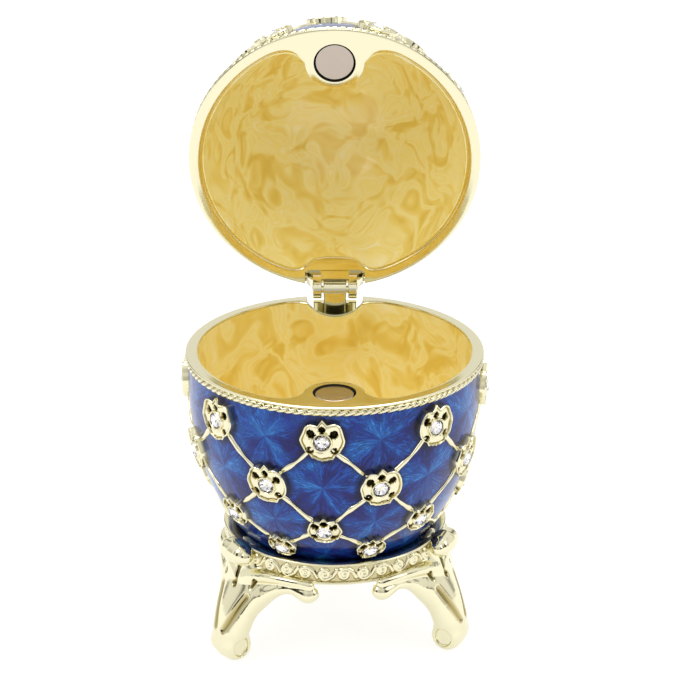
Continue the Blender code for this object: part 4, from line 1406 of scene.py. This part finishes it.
def surface(distance, low, high):
    """Quads around every cell wall where the sign changes, one point to each cell.

    A cell's point is the middle of its edges' crossings; it is then moved along the slope,
    by the distance over the slope's length, until it lies on the surface.
    """
    axes = [np.arange(a, b, CELL) for a, b in zip(low, high)]
    lattice = np.stack(np.meshgrid(*axes, indexing="ij"), -1)
    value = distance(lattice.astype(np.float32))
    shape = np.array(value.shape)
    total, weight = np.zeros((*(shape - 1), 3)), np.zeros(shape - 1)
    crossed = []
    for axis in range(3):
        a = np.take(value, range(0, shape[axis] - 1), axis)
        b = np.take(value, range(1, shape[axis]), axis)
        crossing = (a < 0) != (b < 0)
        crossed.append((crossing, a < 0))
        where = np.take(lattice, range(0, shape[axis] - 1), axis).astype(float)
        where[..., axis] += CELL * np.where(crossing, a / np.where(a == b, 1, a - b), 0)
        u, v = [k for k in range(3) if k != axis]
        for i, j in ((0, 0), (0, 1), (1, 0), (1, 1)):
            pick = [slice(None)] * 3
            pick[u], pick[v] = slice(i, shape[u] - 1 + i), slice(j, shape[v] - 1 + j)
            mask = crossing[tuple(pick)]
            total += where[tuple(pick)] * mask[..., None]
            weight += mask
    used = weight > 0
    index = np.full(used.shape, -1)
    index[used] = np.arange(used.sum())
    points = total[used] / weight[used][:, None]
    faces = []
    for axis, (crossing, inside) in enumerate(crossed):
        u, v = [k for k in range(3) if k != axis]
        pick = [slice(None)] * 3
        pick[u], pick[v] = slice(1, shape[u] - 1), slice(1, shape[v] - 1)
        at = np.argwhere(crossing[tuple(pick)])
        at[:, [u, v]] += 1
        starts = inside[tuple(at.T)]
        corner = []
        for du, dv in ((-1, -1), (0, -1), (0, 0), (-1, 0)):
            cell = at.copy()
            cell[:, u] += du
            cell[:, v] += dv
            corner.append(index[tuple(cell.T)])
        quad = np.stack(corner, -1)
        flip = starts == (axis == 1)
        quad[flip] = quad[flip][:, ::-1]
        faces.append(quad)
    for _ in range(3):
        here = distance(points)
        step = 0.01
        slope = np.stack([(distance(points + step * unit) - here) / step for unit in np.eye(3)], -1)
        move = (here / np.maximum((slope ** 2).sum(-1), 0.05))[:, None] * slope
        points = points - np.clip(move, -0.1, 0.1)
    return Shape(points, np.concatenate(faces))


LEG_BOX = ((-14.3, 9.6, -46.5), (14.3, 22.8, -25.3))
leg = surface(leg_distance, *LEG_BOX)
leg_x, leg_y, leg_z = np.abs(leg.points[:, 0]), leg.points[:, 1], leg.points[:, 2]
# painted shade and painted dark reflections along the pressed channels, darker in the sharp marks
painted_channel_shade = np.clip(1.0 - tube_distance(leg_x, leg_y, leg_z, CHANNEL) / 0.7, 0, 1) * 0.4
for line in MARKS:
    gap = tube_distance(leg_x, leg_y, leg_z, line)
    painted_channel_shade = np.maximum(painted_channel_shade, np.clip(1.2 - gap / 0.16, 0, 1) * 0.6)
print("leg", len(leg.faces), "faces")


# %% Three legs
def turned_leg(azimuth):
    """The leg's shape turned about the egg's axis, its outward side to an azimuth."""
    cosine, sine = math.cos(math.radians(azimuth)), math.sin(math.radians(azimuth))
    x, y, z = leg.points.T
    return Shape(np.column_stack([x * cosine + y * sine, x * sine - y * cosine, z]), leg.faces)


for k, azimuth in enumerate(LEG_TURNS):
    obj = piece(f"stand_leg_{k + 1}", turned_leg(azimuth), "bowl", gold, {"pit": painted_channel_shade}, 70)
    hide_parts("stand")
print(len(made), "pieces in all")

# %% [markdown]
# ## Table, light and camera
# A plain white table and a soft white room.  Polished gold needs something to mirror, so a few
# darker bands stand in the room beside the bright ones.

# %% Floor and light
FLOOR_HALF = 3.0
corners = [(x * FLOOR_HALF, y * FLOOR_HALF, 0) for x, y in ((-1, -1), (1, -1), (1, 1), (-1, 1))]
floor_mesh = bpy.data.meshes.new("floor")
floor_mesh.from_pydata(corners, [], [(0, 1, 2, 3)])
floor = new_object("floor", floor_mesh)
paper, tree, shader = new_finish("white_paper")
wire(tree, shader, Base_Color=linear("#A0A0A0"), Roughness=0.9, Emission_Color=linear("#FFFFFF"),
     Emission_Strength=0.76)
floor_mesh.materials.append(paper)
floor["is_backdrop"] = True

world = bpy.data.worlds.new("studio")
bpy.context.scene.world = world
world.use_nodes = True
tree = world.node_tree
toward = node(tree, "SeparateXYZ", Vector=node(tree, "TexCoord").outputs["Generated"])
forward = node(tree, "Math", {"operation": "MULTIPLY"}, _0=toward.outputs["Y"], _1=-1.0).outputs["Value"]
side = node(tree, "Math", {"operation": "ABSOLUTE"}, _0=toward.outputs["X"]).outputs["Value"]
turn = node(tree, "Math", {"operation": "ARCTAN2"}, _0=side, _1=forward).outputs["Value"]
share = node(tree, "MapRange", Value=turn, From_Min=0.0, From_Max=math.pi).outputs["Result"]
bands = ramp(tree, share, ((0.0, "#C4C4C0"), (0.1, "#DCDCD8"), (0.17, "#F0F0EE"), (0.21, "#30302A"),
                           (0.31, "#24241E"), (0.35, "#F4F4F0"), (0.41, "#F4F4F0"), (0.44, "#34342C"),
                           (0.48, "#F8F8F4"), (0.62, "#FFFFFF"), (0.66, "#8C8C84"), (0.7, "#F4F4F0"),
                           (0.79, "#F4F4F0"), (0.82, "#3C3C34"), (0.87, "#F4F4F0")))
high = node(tree, "MapRange", SMOOTH, Value=toward.outputs["Z"], From_Min=0.35, From_Max=0.75)
room = node(tree, "Mix", {"data_type": "RGBA"}, _0=high.outputs["Result"], _6=bands, _7=linear("#FFFFFF"))
wire(tree, tree.nodes["Background"], Color=room.outputs[2], Strength=1.0)


def softbox(name, place, target, size, power):
    """A rectangular area light, facing a target."""
    light = bpy.data.lights.new(name, "AREA")
    light.shape = "RECTANGLE"
    light.size, light.size_y = size
    light.energy = power
    obj = new_object(name, light)
    obj.location = place
    direction = np.array(target) - np.array(place)
    pitch = math.acos(-direction[2] / np.linalg.norm(direction))
    obj.rotation_euler = (pitch, 0, math.atan2(-direction[0], direction[1]))
    return obj


middle = (0, 0, 0.045)
softbox("left_softbox", (-0.35, -0.25, 0.4), middle, (0.25, 0.25), 0.45)
softbox("right_softbox", (0.4, -0.2, 0.3), middle, (0.25, 0.3), 0.25)
softbox("top_softbox", (0.0, 0.1, 0.6), middle, (0.4, 0.4), 1.7)

# %% Camera
camera = new_object("camera", bpy.data.cameras.new("camera"))
bpy.context.scene.camera = camera
camera.data.sensor_width = 36.0
camera.data.lens = 141.2
camera.data.clip_start = 0.01
AIM = (0.8, 0.0, 1.36)
target = (rim_centre + AIM) * MM
elevation = math.radians(22.1)
distance = 0.400
camera.location = target + distance * np.array([0, -math.cos(elevation), math.sin(elevation)])
camera.rotation_euler = (math.pi / 2 - elevation, 0, 0)
bpy.context.scene.view_settings.view_transform = "Standard"

# %% Finish
size = {"cad": cad_box, "visual": [[float(value) for value in corner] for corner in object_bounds()]}
print(size)
